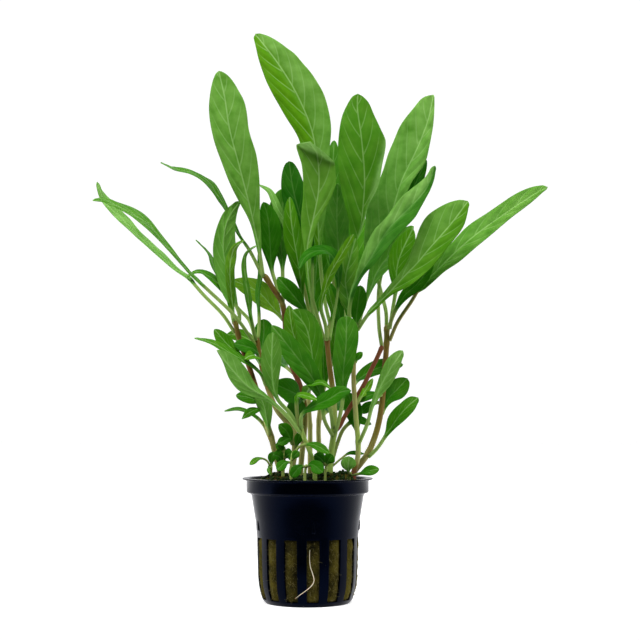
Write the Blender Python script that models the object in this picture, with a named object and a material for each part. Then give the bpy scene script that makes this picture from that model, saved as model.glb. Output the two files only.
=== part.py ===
"""A potted hygrophila: a stem plant with long green leaves, in a slotted net pot filled with rockwool.

Sizes are millimetres until an object is made, and +Z is up. The origin is on the pot's axis,
on the surface that the pot stands on. Stems and leaves are placed as a person sees them from
the front: x across and z up at the pot's axis, with a depth that is negative towards the eye.
"""

import math

import bpy
from mathutils import Vector

MM = 0.001
GAP = 0.3

# The eye that the front view belongs to
EYE_DISTANCE = 640.0
EYE_HEIGHT = 82.0
EYE_SIDE = 5.2

# The pot, with its lip and the plain band under it
POT_HEIGHT = 52.0
LIP_RADIUS = 27.5
LIP_THICK = 0.7
LIP_FILLET = 0.15
BAND_RADIUS = 25.7
BAND_FLARE = 0.1
BAND_FOOT = 46.0
SHOULDER_RADIUS = 23.9
SHOULDER_DROP = 0.8
INNER_DROP = 1.4
WALL = 1.0
FLOOR_RADIUS = 17.6
FLOOR_FILLET = 0.4
FLOOR_THICK = 1.2

# The slots between the pot's ribs, closed above its bottom by a narrow ring
SLOTS = 14
SLOT_COLUMNS = 3
OPEN_COLUMNS = 2
SLOT_FOOT = 2.0
SLOT_TOP = 27.4
SLOT_TURN = math.radians(6.8)
SLOT_ANGLE = math.radians(15.0)

# Outer radius and height of the wall, from the slots' foot up to the shoulder's foot
WALL_ROWS = ((19.0, SLOT_FOOT), (19.9, 5.0), (20.9, 10.8), (21.3, SLOT_TOP), (21.9, 34.0))

# The rockwool plug: its least distance from the pot, and its crown as radius and height
WOOL_INSET = 0.35
WOOL_LIFT = 0.6
WOOL_FOOT_RADIUS = 16.3
WOOL_CROWN = ((24.35, 49.8), (19.0, 51.1), (9.0, 52.2))
WOOL_PEAK = 52.3
WOOL_COLUMNS = 20

# The sockets in the rockwool, and the height under which a stem's first place is rooted there
SOCKET_FLOOR = 47.0
SOCKET_TOP = 56.0
SOCKET_WIDER = 1.12
ROOTED_BELOW = 57.0

# Leaves and stems
STEM_SIDES = 6
SPROUT_SIDES = 5
BROAD_SIDES = 6
BROAD_FROM = 12.0
NARROW_SIDES = 4
NODE_SWELL = 1.18
NODE_REACH = 1.6
PATH_STEPS = 10
LEAST_STEP = 0.9
STALK_STEP = 9.0
GROWTH_DEPTH = 0.3

# A leaf's stalk and blade, where a leaf's own values don't say otherwise
BLADE_THICK = 0.35
PETIOLE = 0.75
PETIOLE_TAPER = 0.3
OPEN_BLADE = 2.0
STALK_SHARE = 0.1
FOLD = 8.0
WIDEST = 0.6
FOOT_POWER = 1.3
BLUNT = 0.6
BLADE_STATIONS = (0.13, 0.32, 0.54, 0.74, 0.9, 0.98)
SMALL_STATIONS = (0.22, 0.52, 0.85)

# Edges sharper than this are drawn as edges, in degrees
SMOOTH_ANGLE = 40.0
POT_SMOOTH_ANGLE = 30.0
WOOL_SMOOTH_ANGLE = 50.0

# Each stem: radius at its foot and top, places from the foot up, and heights of its leaf nodes
STEMS = {
    "stem_left": (
        (1.35, 1.0),
        [(-12.6, 54, -4), (-14.2, 60, -4), (-15.6, 66, -4.5), (-17, 72, -5), (-20.3, 84, -4),
         (-24.5, 98, -1), (-28.6, 109, 0), (-31, 119, 0)],
        (69.5, 112.5, 117),
    ),
    "stem_left_behind": (
        (1.25, 1.05),
        [(-6.8, 54, -9), (-5.8, 60, -9), (-5.5, 66, -9), (-5.9, 71.5, -8), (-9, 75.5, -5),
         (-13, 80.5, -1), (-17, 90, 3), (-20, 101, 4), (-21.6, 111, 4)],
        (71.5, 109),
    ),
    "stem_red_brown": (
        (1.2, 1.1),
        [(-3, 54, 1), (-2.4, 62, 1), (-1.4, 72, 1), (-1.4, 82, 2), (-3.3, 91, 4), (-6.3, 98, 5),
         (-8.2, 106, 5), (-9.3, 113, 5), (-9.8, 120, 4), (-11, 126, 3), (-14.8, 132, 2),
         (-18.6, 138, 1)],
        (83, 124.5, 136),
    ),
    "stem_short_front": (
        (0.95, 0.9),
        [(3, 54, -14), (2, 60, -14), (0.2, 64.5, -14.5), (-1.6, 69, -15), (-3.3, 73.8, -15)],
        (72.5,),
    ),
    "stem_center": (
        (1.4, 1.05),
        [(9.3, 54, -8), (9.6, 60, -8), (10.4, 66, -8), (11.1, 71, -8), (11.2, 80, -8),
         (10.4, 90, -7), (9, 101, -6), (8.1, 111, -5)],
        (71, 109.5),
    ),
    "stem_red_side_shoot": (
        (0.9, 0.95),
        [(13.8, 73.6, -6), (15, 76.6, -4.4), (17.5, 81, -2), (21.3, 87, -1), (24.2, 92, 0), (27, 97.5, 1),
         (29.2, 102.5, 1), (30.6, 108.5, 1.5)],
        (107,),
    ),
    "stem_pale_right": (
        (1.15, 0.9),
        [(19.4, 54, -6.5), (20.6, 58, -6.5), (21.2, 61, -6.5), (21.3, 67, -6.5), (20.5, 76, -6.5),
         (19.9, 85, -6.5), (19.4, 93, -5), (19.7, 104, -2), (20.5, 115.5, 0)],
        (67, 114),
    ),
    "stem_olive_right": (
        (1.35, 1.15),
        [(19.4, 54, 3), (22.2, 57.8, 3), (25.4, 62.2, 3), (28.6, 70, 4), (30.2, 76, 5),
         (31.2, 82, 6), (32, 90, 6.5), (32.6, 98, 6.5), (33.4, 108, 6), (33.5, 116.5, 6)],
        (62.5, 109, 115),
    ),
    "stem_behind_left": (
        (1.1, 0.9),
        [(1, 54, 12), (1, 63, 12), (1, 72, 12), (0.4, 84, 12), (0.6, 98, 12), (1.6, 110, 11),
         (2.2, 121, 10)],
        (74, 97, 119.5),
    ),
    "stem_behind_right": (
        (1.1, 0.9),
        [(5, 54, 14), (4.8, 64, 14), (4.6, 74, 14), (6, 86, 14), (9.4, 99, 13), (13.4, 112, 12)],
        (76, 97, 110.5),
    ),
}

# Each large leaf: its stem, the height where it leaves it, the places its midrib passes and its
# tip, its width, and where its upper face looks at its foot and at its tip. The rest is optional:
# start is the share of its length that is stalk, fold how far its halves close, in degrees.
LEAVES = {
    "leaf_crown_left": (
        "stem_red_brown", 137, [(-20.3, 146, -1), (-23.5, 163, -4), (-30.5, 187, -6), (-34.6, 206, -5)],
        (-38.6, 225.3, -2), 17.0, (0.2, -1, 0.1), (0.1, -1, 0.2), dict(start=0.12, fold=10, widest=0.67),
    ),
    "leaf_crown_top": (
        "stem_behind_right", 110,
        [(7, 128, 14), (4.6, 155, 14), (4, 185, 11), (1.4, 201, 9), (-6, 217, 8), (-14, 230, 8.6)],
        (-22.4, 242, 10), 19.5, (-0.2, -1, 0), (0.1, -1, 0.3), dict(start=0.22, fold=8, widest=0.68),
    ),
    "leaf_crown_right": (
        "stem_olive_right", 115.5,
        [(28.6, 119, 2), (25, 126.5, 0), (22, 137, -3), (22.3, 156, -8), (24, 180, -12), (22.6, 200, -12)],
        (21.4, 215.4, -9), 20.5, (0.2, -1, 0), (0, -1, 0.2), dict(start=0.3, fold=12),
    ),
    "leaf_right_top": (
        "stem_olive_right", 115.5,
        [(33.2, 124, 9), (33.4, 138, 14), (36, 166, 14), (42.4, 187, 12), (48.6, 203.4, 10)],
        (53.6, 215, 10), 17.0, (-0.2, -1, 0), (-0.4, -1, 0.2), dict(start=0.32, fold=10),
    ),
    "leaf_right_top_behind": (
        "stem_red_side_shoot", 108, [(30.2, 116, 8), (30.6, 135, 18), (37, 160, 22), (44.5, 176, 23)],
        (50.8, 187, 22), 10.0, (-1, -0.5, 0), (-1, -0.3, 0.6), dict(start=0.35, fold=12),
    ),
    "leaf_center_front": (
        "stem_center", 110,
        [(4.2, 119.6, -7), (0.6, 133, -13), (-0.6, 149, -17), (3, 163, -20), (5, 174, -22),
         (4.4, 185, -24), (0.4, 190.6, -26)],
        (-4.8, 193, -25), 15.0, (0, -1, 0), (-0.5, -0.4, 1),
        dict(start=0.22, fold=9, widest=0.68, blunt=0.5),
    ),
    "leaf_dark_behind": (
        "stem_behind_left", 120.5, [(1.8, 130, 6), (1.7, 143, 3), (-2.5, 160, 1), (-6.2, 174, 2)],
        (-8, 186.4, 4), 10.0, (0.2, -1, 0), (0.2, -1, 0.2), dict(start=0.3, fold=8, blunt=0.45),
    ),
    "leaf_mid_green": (
        "stem_behind_left", 108, [(-1.8, 115, 9), (-2.4, 127, 7), (-4.2, 140, -2), (-7, 156, -6)],
        (-8, 171.8, -8), 10.5, (-0.6, -1, 0), (-0.5, -1, 0.2), dict(start=0.3, fold=9),
    ),
    "leaf_back_rounded": (
        "stem_red_brown", 124.5, [(-10.6, 133, 8), (-10.8, 143, 11), (-11.8, 158, 12)],
        (-11.2, 173, 13), 9.0, (0.4, -1, 0), (0.4, -1, 0.2), dict(start=0.3, fold=8),
    ),
    "leaf_dark_red_rib": (
        "stem_red_brown", 126.5, [(-13, 132.4, 6), (-15.3, 140, 7), (-16, 150, 6), (-17, 162, 4)],
        (-18.9, 168.9, 3), 10.5, (0.2, -1, 0), (0.3, -1, 0.3), dict(start=0.3, fold=14),
    ),
    "leaf_dark_center": (
        "stem_behind_right", 112, [(15.4, 118, 18), (14.8, 128, 17), (13.8, 140, 14), (12.4, 160, 11)],
        (12.8, 177, 6), 10.0, (0, -1, 0), (0, -1, 0.2), dict(start=0.3, fold=8),
    ),
    "leaf_arching_left": (
        "stem_red_brown", 137,
        [(-21, 143, 4), (-28, 153, 7), (-36, 167, 9), (-44, 177.8, 10), (-54, 182.2, 9)],
        (-63, 185.8, 7), 11.0, (1, -0.4, 0.6), (0.2, -0.35, 1), dict(start=0.4, fold=8),
    ),
    "leaf_far_left_green": (
        "stem_left_behind", 108.6,
        [(-31, 120.4, -5), (-46, 134.6, -5), (-60, 149, -8), (-70, 160.3, -10), (-80, 166.4, -11)],
        (-91.6, 169.6, -11), 11.0, (0.6, -0.6, 0.7), (0.2, -0.5, 0.8), dict(start=0.55, fold=10),
    ),
    "leaf_far_left_pale": (
        "stem_left", 113,
        [(-36, 120.8, 3), (-46, 130, 6), (-57, 140.6, 9), (-70, 153, 12), (-81, 164.6, 13)],
        (-89.9, 177.6, 12), 10.0, (0.6, -0.6, 0.7), (0.4, -0.6, 0.7), dict(start=0.5, fold=10),
    ),
    "leaf_left_broad": (
        "stem_left", 117.4,
        [(-28.9, 120.4, 0.5), (-31.2, 127, 1), (-33.6, 137, 2), (-35.8, 150, 1), (-34, 161, -1)],
        (-28.9, 169.2, -2), 11.5, (0.3, 1, 0.1), (0.3, 1, 0.4), dict(start=0.14, fold=8),
    ),
    "leaf_left_slim": (
        "stem_left", 118, [(-31.2, 126, -3), (-33.2, 136, -7), (-33.4, 144, -9)],
        (-28.2, 152.4, -10), 8.0, (1, -0.6, 0), (0.7, -0.7, 0.3), dict(start=0.1, fold=10),
    ),
    "leaf_left_edge_on": (
        "stem_left_behind", 110.5,
        [(-24, 115.4, 9), (-30, 124.6, 14), (-38.6, 138, 18), (-42.6, 147.4, 19)],
        (-48.4, 153, 19), 7.5, (1, -0.22, 0.6), (0.6, -0.2, 1), dict(start=0.3, fold=12),
    ),
    "leaf_left_hooked": (
        "stem_left", 117.4, [(-33.4, 124.8, 5), (-38, 133.4, 8), (-43.4, 138.6, 8)],
        (-49.6, 138.6, 8), 9.0, (0.6, -0.5, 0.6), (0, -0.4, 1), dict(start=0.14, fold=10),
    ),
    "leaf_slim_curled_tip": (
        "stem_left_behind", 110.5,
        [(-22.9, 117, -1), (-25.4, 128, -4), (-26.9, 139.6, -6), (-25.8, 146.6, -6)],
        (-20.9, 150.4, -5), 8.5, (1, -0.42, 0), (0.6, -0.2, 0.4),
        dict(start=0.24, fold=10, widest=0.36, blunt=1.5),
    ),
    "leaf_slim_inner": (
        "stem_left_behind", 110.5, [(-20.6, 118, 7), (-20.9, 130, 8), (-19.6, 138.4, 7)],
        (-20.6, 148.6, 6), 8.0, (-1, -0.35, 0), (-1, -0.4, 0.2), dict(start=0.25, fold=10),
    ),
    "leaf_right_folded": (
        "stem_pale_right", 114.5,
        [(17.6, 121, -10), (18.6, 131, -14), (25.6, 144.4, -16), (38, 158.4, -17), (48.6, 170.4, -16)],
        (54.4, 184.4, -14), 12.0, (-0.5, -1, 0.2), (-0.5, -1, 0.3), dict(start=0.16, fold=30),
    ),
    "leaf_right_underside": (
        "stem_pale_right", 114.5, [(22.8, 121.4, 3), (25.4, 129, 5), (29.4, 139.6, 8), (37.4, 149.6, 11)],
        (45, 158.6, 13), 12.0, (-0.5, 1, 0.3), (-0.5, 1, 0.5), dict(start=0.25, fold=8),
    ),
    "leaf_back_right": (
        "stem_olive_right", 115.5, [(35.8, 121.6, 9), (37.3, 131, 13), (38.3, 143, 17)],
        (44.6, 157.6, 20), 10.0, (0.3, -1, 0), (0.3, -1, 0.3), dict(start=0.3, fold=8),
    ),
    "leaf_right_broad": (
        "stem_pale_right", 114.5, [(25.5, 120.8, -6), (33, 129.6, -10), (44.4, 143, -13), (56, 157.4, -15)],
        (68.6, 168.8, -15), 14.4, (-0.4, -1, 0.4), (-0.4, -1, 0.5), dict(start=0.24, fold=7, blunt=0.45),
    ),
    "leaf_right_long": (
        "stem_olive_right", 110,
        [(37, 115.6, 3), (45, 127, 3), (54.6, 138.4, 3), (66.4, 149.8, 3), (80.6, 161.4, 3), (92, 170, 2)],
        (102.2, 175, 2), 11.5, (-0.4, -0.8, 0.5), (-0.3, -0.9, 0.6), dict(start=0.4, fold=8),
    ),
    "leaf_bright_slim": (
        "stem_center", 110, [(8, 118, -11), (5.9, 127, -16), (8.6, 137.6, -21), (13.6, 146.8, -24)],
        (18.6, 155.2, -25), 5.2, (0.4, -1, 0), (0.4, -1, 0.2), dict(start=0.25, fold=14),
    ),
    "leaf_light_center": (
        "stem_behind_right", 111, [(17.4, 119, 8.5), (17, 128, 1), (16, 136, -7), (18.2, 145.6, -11)],
        (20.4, 153.4, -12), 9.0, (0, -1, 0), (0, -1, 0.2), dict(start=0.1, fold=8),
    ),
    "leaf_arching_center": (
        "stem_center", 109.5,
        [(10.8, 119, -6), (12.8, 131, -10), (12, 141.6, -17), (5.4, 149.4, -25), (0, 147, -28)],
        (-3.8, 140, -28), 6.5, (1, -1, 0.6), (-0.8, -0.7, 0.7), dict(start=0.45, fold=8),
    ),
    "leaf_left_bright_back": (
        "stem_red_brown", 119, [(-15, 124, 13), (-21, 130.4, 16)],
        (-31.8, 135.4, 17), 11.5, (0.3, -0.9, 0.5), (0, -0.9, 0.6), dict(start=0.06, fold=8),
    ),
    "leaf_dark_left_center": (
        "stem_behind_left", 119, [(-1.6, 123.4, 3), (-5.4, 128.2, 1), (-9, 132.4, 0)],
        (-12.8, 136.8, 1), 7.6, (-0.4, -1, 0.3), (-0.4, -1, 0.5), dict(start=0.2, fold=10),
    ),
    "leaf_front_big": (
        "stem_center", 73,
        [(9.4, 81, -12), (5.2, 89, -14), (2.6, 99, -15), (1.2, 108, -15), (-1, 116, -14)],
        (-6.6, 122.8, -12), 12.8, (0, -1, 0.1), (-0.1, -1, 0.4), dict(start=0.34, fold=8),
    ),
    "leaf_front_left_long": (
        "stem_center", 70,
        [(7, 76.5, -15), (5.8, 86, -18.5), (1, 95.6, -20), (-5, 103.4, -20), (-10.4, 110.4, -19)],
        (-15.4, 116.3, -18), 9.5, (-0.5, -1, 0.4), (-0.5, -1, 0.5), dict(start=0.3, fold=10),
    ),
    "leaf_front_pale": (
        "stem_short_front", 73.4, [(-7.4, 79, -18), (-13, 85.6, -22), (-15.2, 98, -26)],
        (-14.8, 113.4, -27), 9.2, (0, 1, 0), (0, 1, 0.2), dict(start=0.36, fold=6),
    ),
    "leaf_left_speckled": (
        "stem_short_front", 71, [(-9, 78.2, -21), (-16, 84.6, -25), (-25, 90.2, -27), (-32, 97.6, -26)],
        (-38.5, 105.8, -24), 9.8, (0.4, 1, -0.5), (0.4, 1, -0.3), dict(start=0.36, fold=6),
    ),
    "leaf_left_long_arch": (
        "stem_left_behind", 91, [(-20, 96, -3), (-26, 100.6, -7), (-33, 104.6, -9), (-41, 109, -10)],
        (-48, 110.9, -9), 7.0, (0.4, -0.7, 0.8), (0.1, -0.4, 1), dict(start=0.08, fold=10),
    ),
    "leaf_dark_round_low": (
        "stem_red_brown", 83.5, [(-4.4, 86.4, -7), (-8.6, 88, -11)],
        (-13.8, 90, -13), 9.4, (0, -1, 0.4), (0, -1, 0.5), dict(start=0.08, fold=8, blunt=0.5),
    ),
    "leaf_front_dark_wide": (
        "stem_short_front", 73, [(-2.6, 78.4, -19), (2, 81.8, -23), (9, 85, -26), (14, 88, -27)],
        (18.4, 88.6, -27), 7.8, (-0.2, -1, 0.6), (0, -1, 0.6), dict(start=0.2, fold=10),
    ),
    "leaf_front_broad": (
        "stem_center", 71.5, [(13.6, 78, -13), (14.9, 86, -17), (15, 96, -20), (16.2, 108, -21)],
        (16.4, 120.3, -19), 11.4, (0.1, -1, 0), (0.1, -1, 0.3), dict(start=0.3, fold=8, widest=0.56),
    ),
    "leaf_right_pale": (
        "stem_pale_right", 67.5, [(25.3, 75, -13), (27.2, 82, -17), (31, 91, -20), (35.6, 99, -21)],
        (40.3, 105.6, -20), 8.4, (-0.3, 1, -0.1), (-0.3, 1, 0.1), dict(start=0.28, fold=6),
    ),
    "leaf_right_dark_behind": (
        "stem_pale_right", 91, [(21.6, 93.4, 3), (26, 96.4, 8), (32, 98.8, 12)],
        (40.4, 99.7, 14), 8.6, (-0.4, -1, 0.6), (-0.2, -1, 0.6), dict(start=0.05, fold=9),
    ),
    "leaf_right_dark_round": (
        "stem_olive_right", 79, [(34, 83.6, 11), (38, 87.2, 13)],
        (42.4, 92, 14), 9.0, (-0.4, -1, 0.4), (-0.4, -1, 0.5), dict(start=0.08, fold=8, blunt=0.5),
    ),
    "leaf_right_spoon": (
        "stem_olive_right", 62.5, [(29.4, 64.4, 0), (33.2, 70, -2), (38.4, 77.6, -4), (42.6, 82.2, -4)],
        (46.8, 85.6, -3), 8.2, (-0.5, -1, 0.4), (-0.5, -1, 0.5), dict(start=0.32, fold=6, blunt=0.5),
    ),
}

# Small leaves, which are one piece with the stem or sprout they grow from
SMALL_LEAVES = {
    "left_speckled_low": (
        "stem_left", 70, [(-17, 76, -9), (-18.6, 83, -11)],
        (-22.2, 89.6, -12), 6.4, (0.3, 1, -0.2), (0.3, 1, -0.2), dict(start=0.1, fold=8),
    ),
    "left_mid": (
        "stem_left", 101, [(-28.6, 103.4, -3), (-33.6, 107.8, -3)],
        (-39.6, 114.7, -2), 6.0, (-0.2, -1, 0.4), (-0.2, -1, 0.4), dict(start=0.06, fold=8),
    ),
    "dark_left": (
        "stem_left_behind", 103, [(-22.6, 106, -1), (-26.6, 107.4, -3)],
        (-31.2, 108.4, -4), 7.0, (0, -1, 0.7), (0, -1, 0.5), dict(start=0.06, fold=8, blunt=0.5),
    ),
    "dark_left_round": (
        "stem_left_behind", 105.5, [(-19.3, 108, 10), (-18.6, 113, 12)],
        (-18.8, 119, 13), 6.8, (0, -1, 0.1), (0, -1, 0.2), dict(start=0.06, fold=8, blunt=0.5),
    ),
    "left_bright_behind": (
        "stem_left_behind", 107.5, [(-24, 109.6, 10), (-29, 112, 13)],
        (-34.6, 112.2, 14), 6.4, (0.2, -1, 0.5), (0.1, -1, 0.5), dict(start=0.06, fold=8),
    ),
    "under_right_broad": (
        "stem_olive_right", 115.5, [(36.9, 122, 1), (40.8, 128.6, 0), (46.8, 134.2, -1)],
        (53.4, 143, -1), 6.5, (-0.2, -1, 0.5), (-0.2, -1, 0.5), dict(start=0.22, fold=8),
    ),
    "dark_low_center": (
        "stem_behind_right", 111.5, [(13.6, 120, 5), (11.4, 127.4, 2)],
        (8.8, 135, 0), 5.6, (0.4, -1, 0), (0.4, -1, 0.2), dict(start=0.12, fold=10),
    ),
    "gray_green_low": (
        "stem_red_brown", 73, [(-4.4, 77, -3), (-4.8, 81, -4)],
        (-5, 86, -4), 7.2, (0, -1, 0), (0, -1, 0.2), dict(start=0.08, fold=10),
    ),
    "dark_low_right": (
        "stem_pale_right", 67.5, [(20.6, 73, -1), (19.4, 80, 1)],
        (17, 88, 2), 7.6, (0, -1, 0), (0, -1, 0.2), dict(start=0.2, fold=8),
    ),
    "dark_round_center": (
        "stem_pale_right", 114.5, [(20.6, 119.6, -4), (21.4, 126, -5)],
        (22.4, 133.3, -5), 7.2, (0, -1, 0), (0, -1, 0.3), dict(start=0.1, fold=8, blunt=0.5),
    ),
    "bright_pink_stalk": (
        "stem_behind_left", 97, [(-2, 103.4, 6), (-4.6, 108.6, 4), (-6.6, 114.6, 2)],
        (-8, 124.8, 1), 6.6, (0, -1, 0.1), (-0.1, -1, 0.2), dict(start=0.25, fold=9),
    ),
    "pale_strip": (
        "stem_behind_left", 119, [(-2, 134, 15), (-8, 154, 15), (-13, 168.6, 14)],
        (-20, 176.4, 13), 2.6, (-1, -0.6, 0.4), (0, -1, 0.4), dict(start=0.3),
    ),
    "behind_crown_top": (
        "stem_behind_right", 108, [(12, 124, 20), (9.6, 150, 26), (10.4, 176, 28)],
        (11.2, 195.4, 27), 8.0, (0, -1, 0.1), (0, -1, 0.2), dict(start=0.3),
    ),
    "left_green": (
        "stem_left", 83.5, [(-22.4, 84.8, -10), (-26, 86, -12)],
        (-30.4, 86.6, -12), 5.4, (0, -1, 0.4), (0, -1, 0.4), {},
    ),
    "left_green_low": (
        "stem_left", 80, [(-21.6, 80.6, -10), (-24.6, 79.4, -12)],
        (-27.9, 76.6, -12), 4.4, (-0.2, -1, 0.4), (-0.2, -1, 0.4), {},
    ),
    "left_low_arch": (
        "stem_left", 69.8, [(-18.4, 74, -2), (-22.4, 78, 0), (-29, 80.8, 1)],
        (-35.2, 80, 1), 4.2, (0.6, -0.5, 0.8), (0, -0.4, 1), dict(start=0.3),
    ),
    "bright_folded": (
        "stem_left_behind", 100, [(-22, 103.2, -6), (-24, 103.4, -8)],
        (-26.8, 101.8, -9), 4.4, (0, -1, 1), (0, -1, 1), {},
    ),
    "bright_pointing_right": (
        "stem_short_front", 73, [(-4.6, 80, -18), (-4, 86.6, -21), (0, 86.2, -24)],
        (3.9, 84.6, -26), 3.8, (0.4, -1, 0.6), (0.2, -1, 0.8), dict(start=0.4),
    ),
    "curled_center": (
        "stem_red_brown", 85, [(0.4, 88, -4), (4, 91.2, -9)],
        (9.8, 89.2, -12), 4.0, (0, -0.5, 1), (0, -0.5, 1), {},
    ),
    "bright_beside_shoot": (
        "stem_pale_right", 83, [(22.2, 86, -8), (24.6, 89.4, -9)],
        (27.4, 93.6, -9), 2.8, (0.6, -1, 0), (0.6, -1, 0), {},
    ),
    "dark_pointing_left": (
        "stem_olive_right", 87, [(28.4, 87.2, 1), (24.6, 86, -1)],
        (20.8, 83.8, 0), 4.2, (0, -1, 0.6), (0, -1, 0.6), {},
    ),
    "dark_pointing_down_left": (
        "stem_olive_right", 83.5, [(28.6, 83.6, 5), (25.4, 81.8, 5)],
        (22.4, 79.2, 6), 4.6, (0, -1, 0.4), (0, -1, 0.4), {},
    ),
    "small_right_of_front": (
        "stem_pale_right", 100, [(20.6, 102, -5), (21.8, 103.6, -6)],
        (23.2, 104.9, -6), 2.8, (0, -1, 0), (0, -1, 0), {},
    ),
    "green_right_of_center": (
        "stem_center", 109, [(9.6, 116.4, -2), (11, 121.8, -3), (9.6, 128, -4)],
        (8.4, 134, -4), 3.6, (0, -1, 0), (0, -1, 0), dict(start=0.3),
    ),
    "green_behind_center": (
        "stem_behind_right", 88, [(7, 93, 9), (6.6, 101, 8)],
        (6.8, 110.6, 9), 6.0, (0, -1, 0), (0, -1, 0.2), {},
    ),
    "green_behind_front_broad": (
        "stem_behind_right", 98, [(11, 104, 9), (11.6, 112, 8)],
        (12.8, 123.4, 8), 4.8, (0, -1, 0), (0, -1, 0.2), {},
    ),
    "low_behind_pale_stem": (
        "stem_center", 58, [(12.6, 66.6, -3), (15.4, 72.8, 0), (20.6, 76.4, 3)],
        (26.9, 74.4, 4), 3.6, (0, -1, 0.5), (0, -1, 0.5), dict(start=0.6, petiole=0.5),
    ),
    "low_dark_right": (
        "stem_center", 57, [(14.6, 60.4, -3), (17.6, 62.3, 0)],
        (23.8, 62.1, 1), 2.6, (0, -1, 1), (0, -1, 1), dict(start=0.5, petiole=0.4),
    ),
    "low_left_upper": (
        "stem_left_behind", 66.5, [(-8.8, 71.4, -11.6)],
        (-12.3, 74.4, -13), 4.6, (0, -1, 0.2), (0, -1, 0.2), {},
    ),
    "low_left_lower": (
        "stem_left_behind", 68.6, [(-9, 67.9, -11.6)],
        (-12.7, 66, -13), 3.4, (0, -1, 0.5), (0, -1, 0.5), {},
    ),
    "low_inner": (
        "stem_left_behind", 65, [(-4, 68, -12)],
        (-2.8, 71.4, -12), 2.8, (0, -1, 0), (0, -1, 0), {},
    ),
    "back_center": (
        "stem_behind_left", 97, [(1.6, 112, 24), (3, 132, 35), (4.6, 154, 43)],
        (6, 174, 48), 14.0, (0, -1, 0.3), (0, -0.6, 1), dict(start=0.2),
    ),
    "back_right_of_center": (
        "stem_behind_right", 109, [(15.4, 122, 22), (18, 140, 34)],
        (22, 166, 46), 13.0, (0, -1, 0.3), (0, -0.6, 1), dict(start=0.2),
    ),
    "back_left_low": (
        "stem_red_brown", 96, [(-9.6, 99, 16), (-13.4, 102, 28)],
        (-16.4, 103, 42), 11.0, (0, -0.5, 1), (0, -0.2, 1), dict(start=0.2),
    ),
    "back_right_low": (
        "stem_behind_right", 76, [(8.6, 80.6, 24), (12.4, 83.4, 33)],
        (16.6, 84.6, 43), 9.0, (0, -0.5, 1), (0, -0.2, 1), dict(start=0.2),
    ),
    "back_left_round": (
        "stem_behind_left", 76, [(-3, 82, 21), (-6, 86, 30)],
        (-8.6, 88.4, 39), 8.6, (0, -0.5, 1), (0, -0.2, 1), dict(start=0.2),
    ),
    "back_center_low": (
        "stem_behind_right", 95, [(10.6, 102, 23), (13, 107, 33)],
        (15, 111, 43), 9.0, (0, -0.5, 1), (0, -0.2, 1), dict(start=0.2),
    ),
}

# Each base sprout: radius of its stalk and places from the foot up
SPROUTS = {
    "sprout_left": (0.6, [(-15.4, 54, -8), (-15.2, 57.4, -8.6)]),
    "sprout_front_left": (0.7, [(-7, 53, -16), (-6.9, 58, -17), (-6.4, 62.6, -17)]),
    "sprout_dark": (0.8, [(-10.4, 54, -9), (-10, 59, -10), (-9.8, 65, -11)]),
    "sprout_front_center": (0.7, [(-1.2, 53, -19), (-0.6, 57.6, -20)]),
    "sprout_round": (0.6, [(7.4, 53, -16), (7.8, 58, -17)]),
    "sprout_right": (0.7, [(17.4, 52, -12), (18.3, 54.2, -14)]),
}

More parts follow.
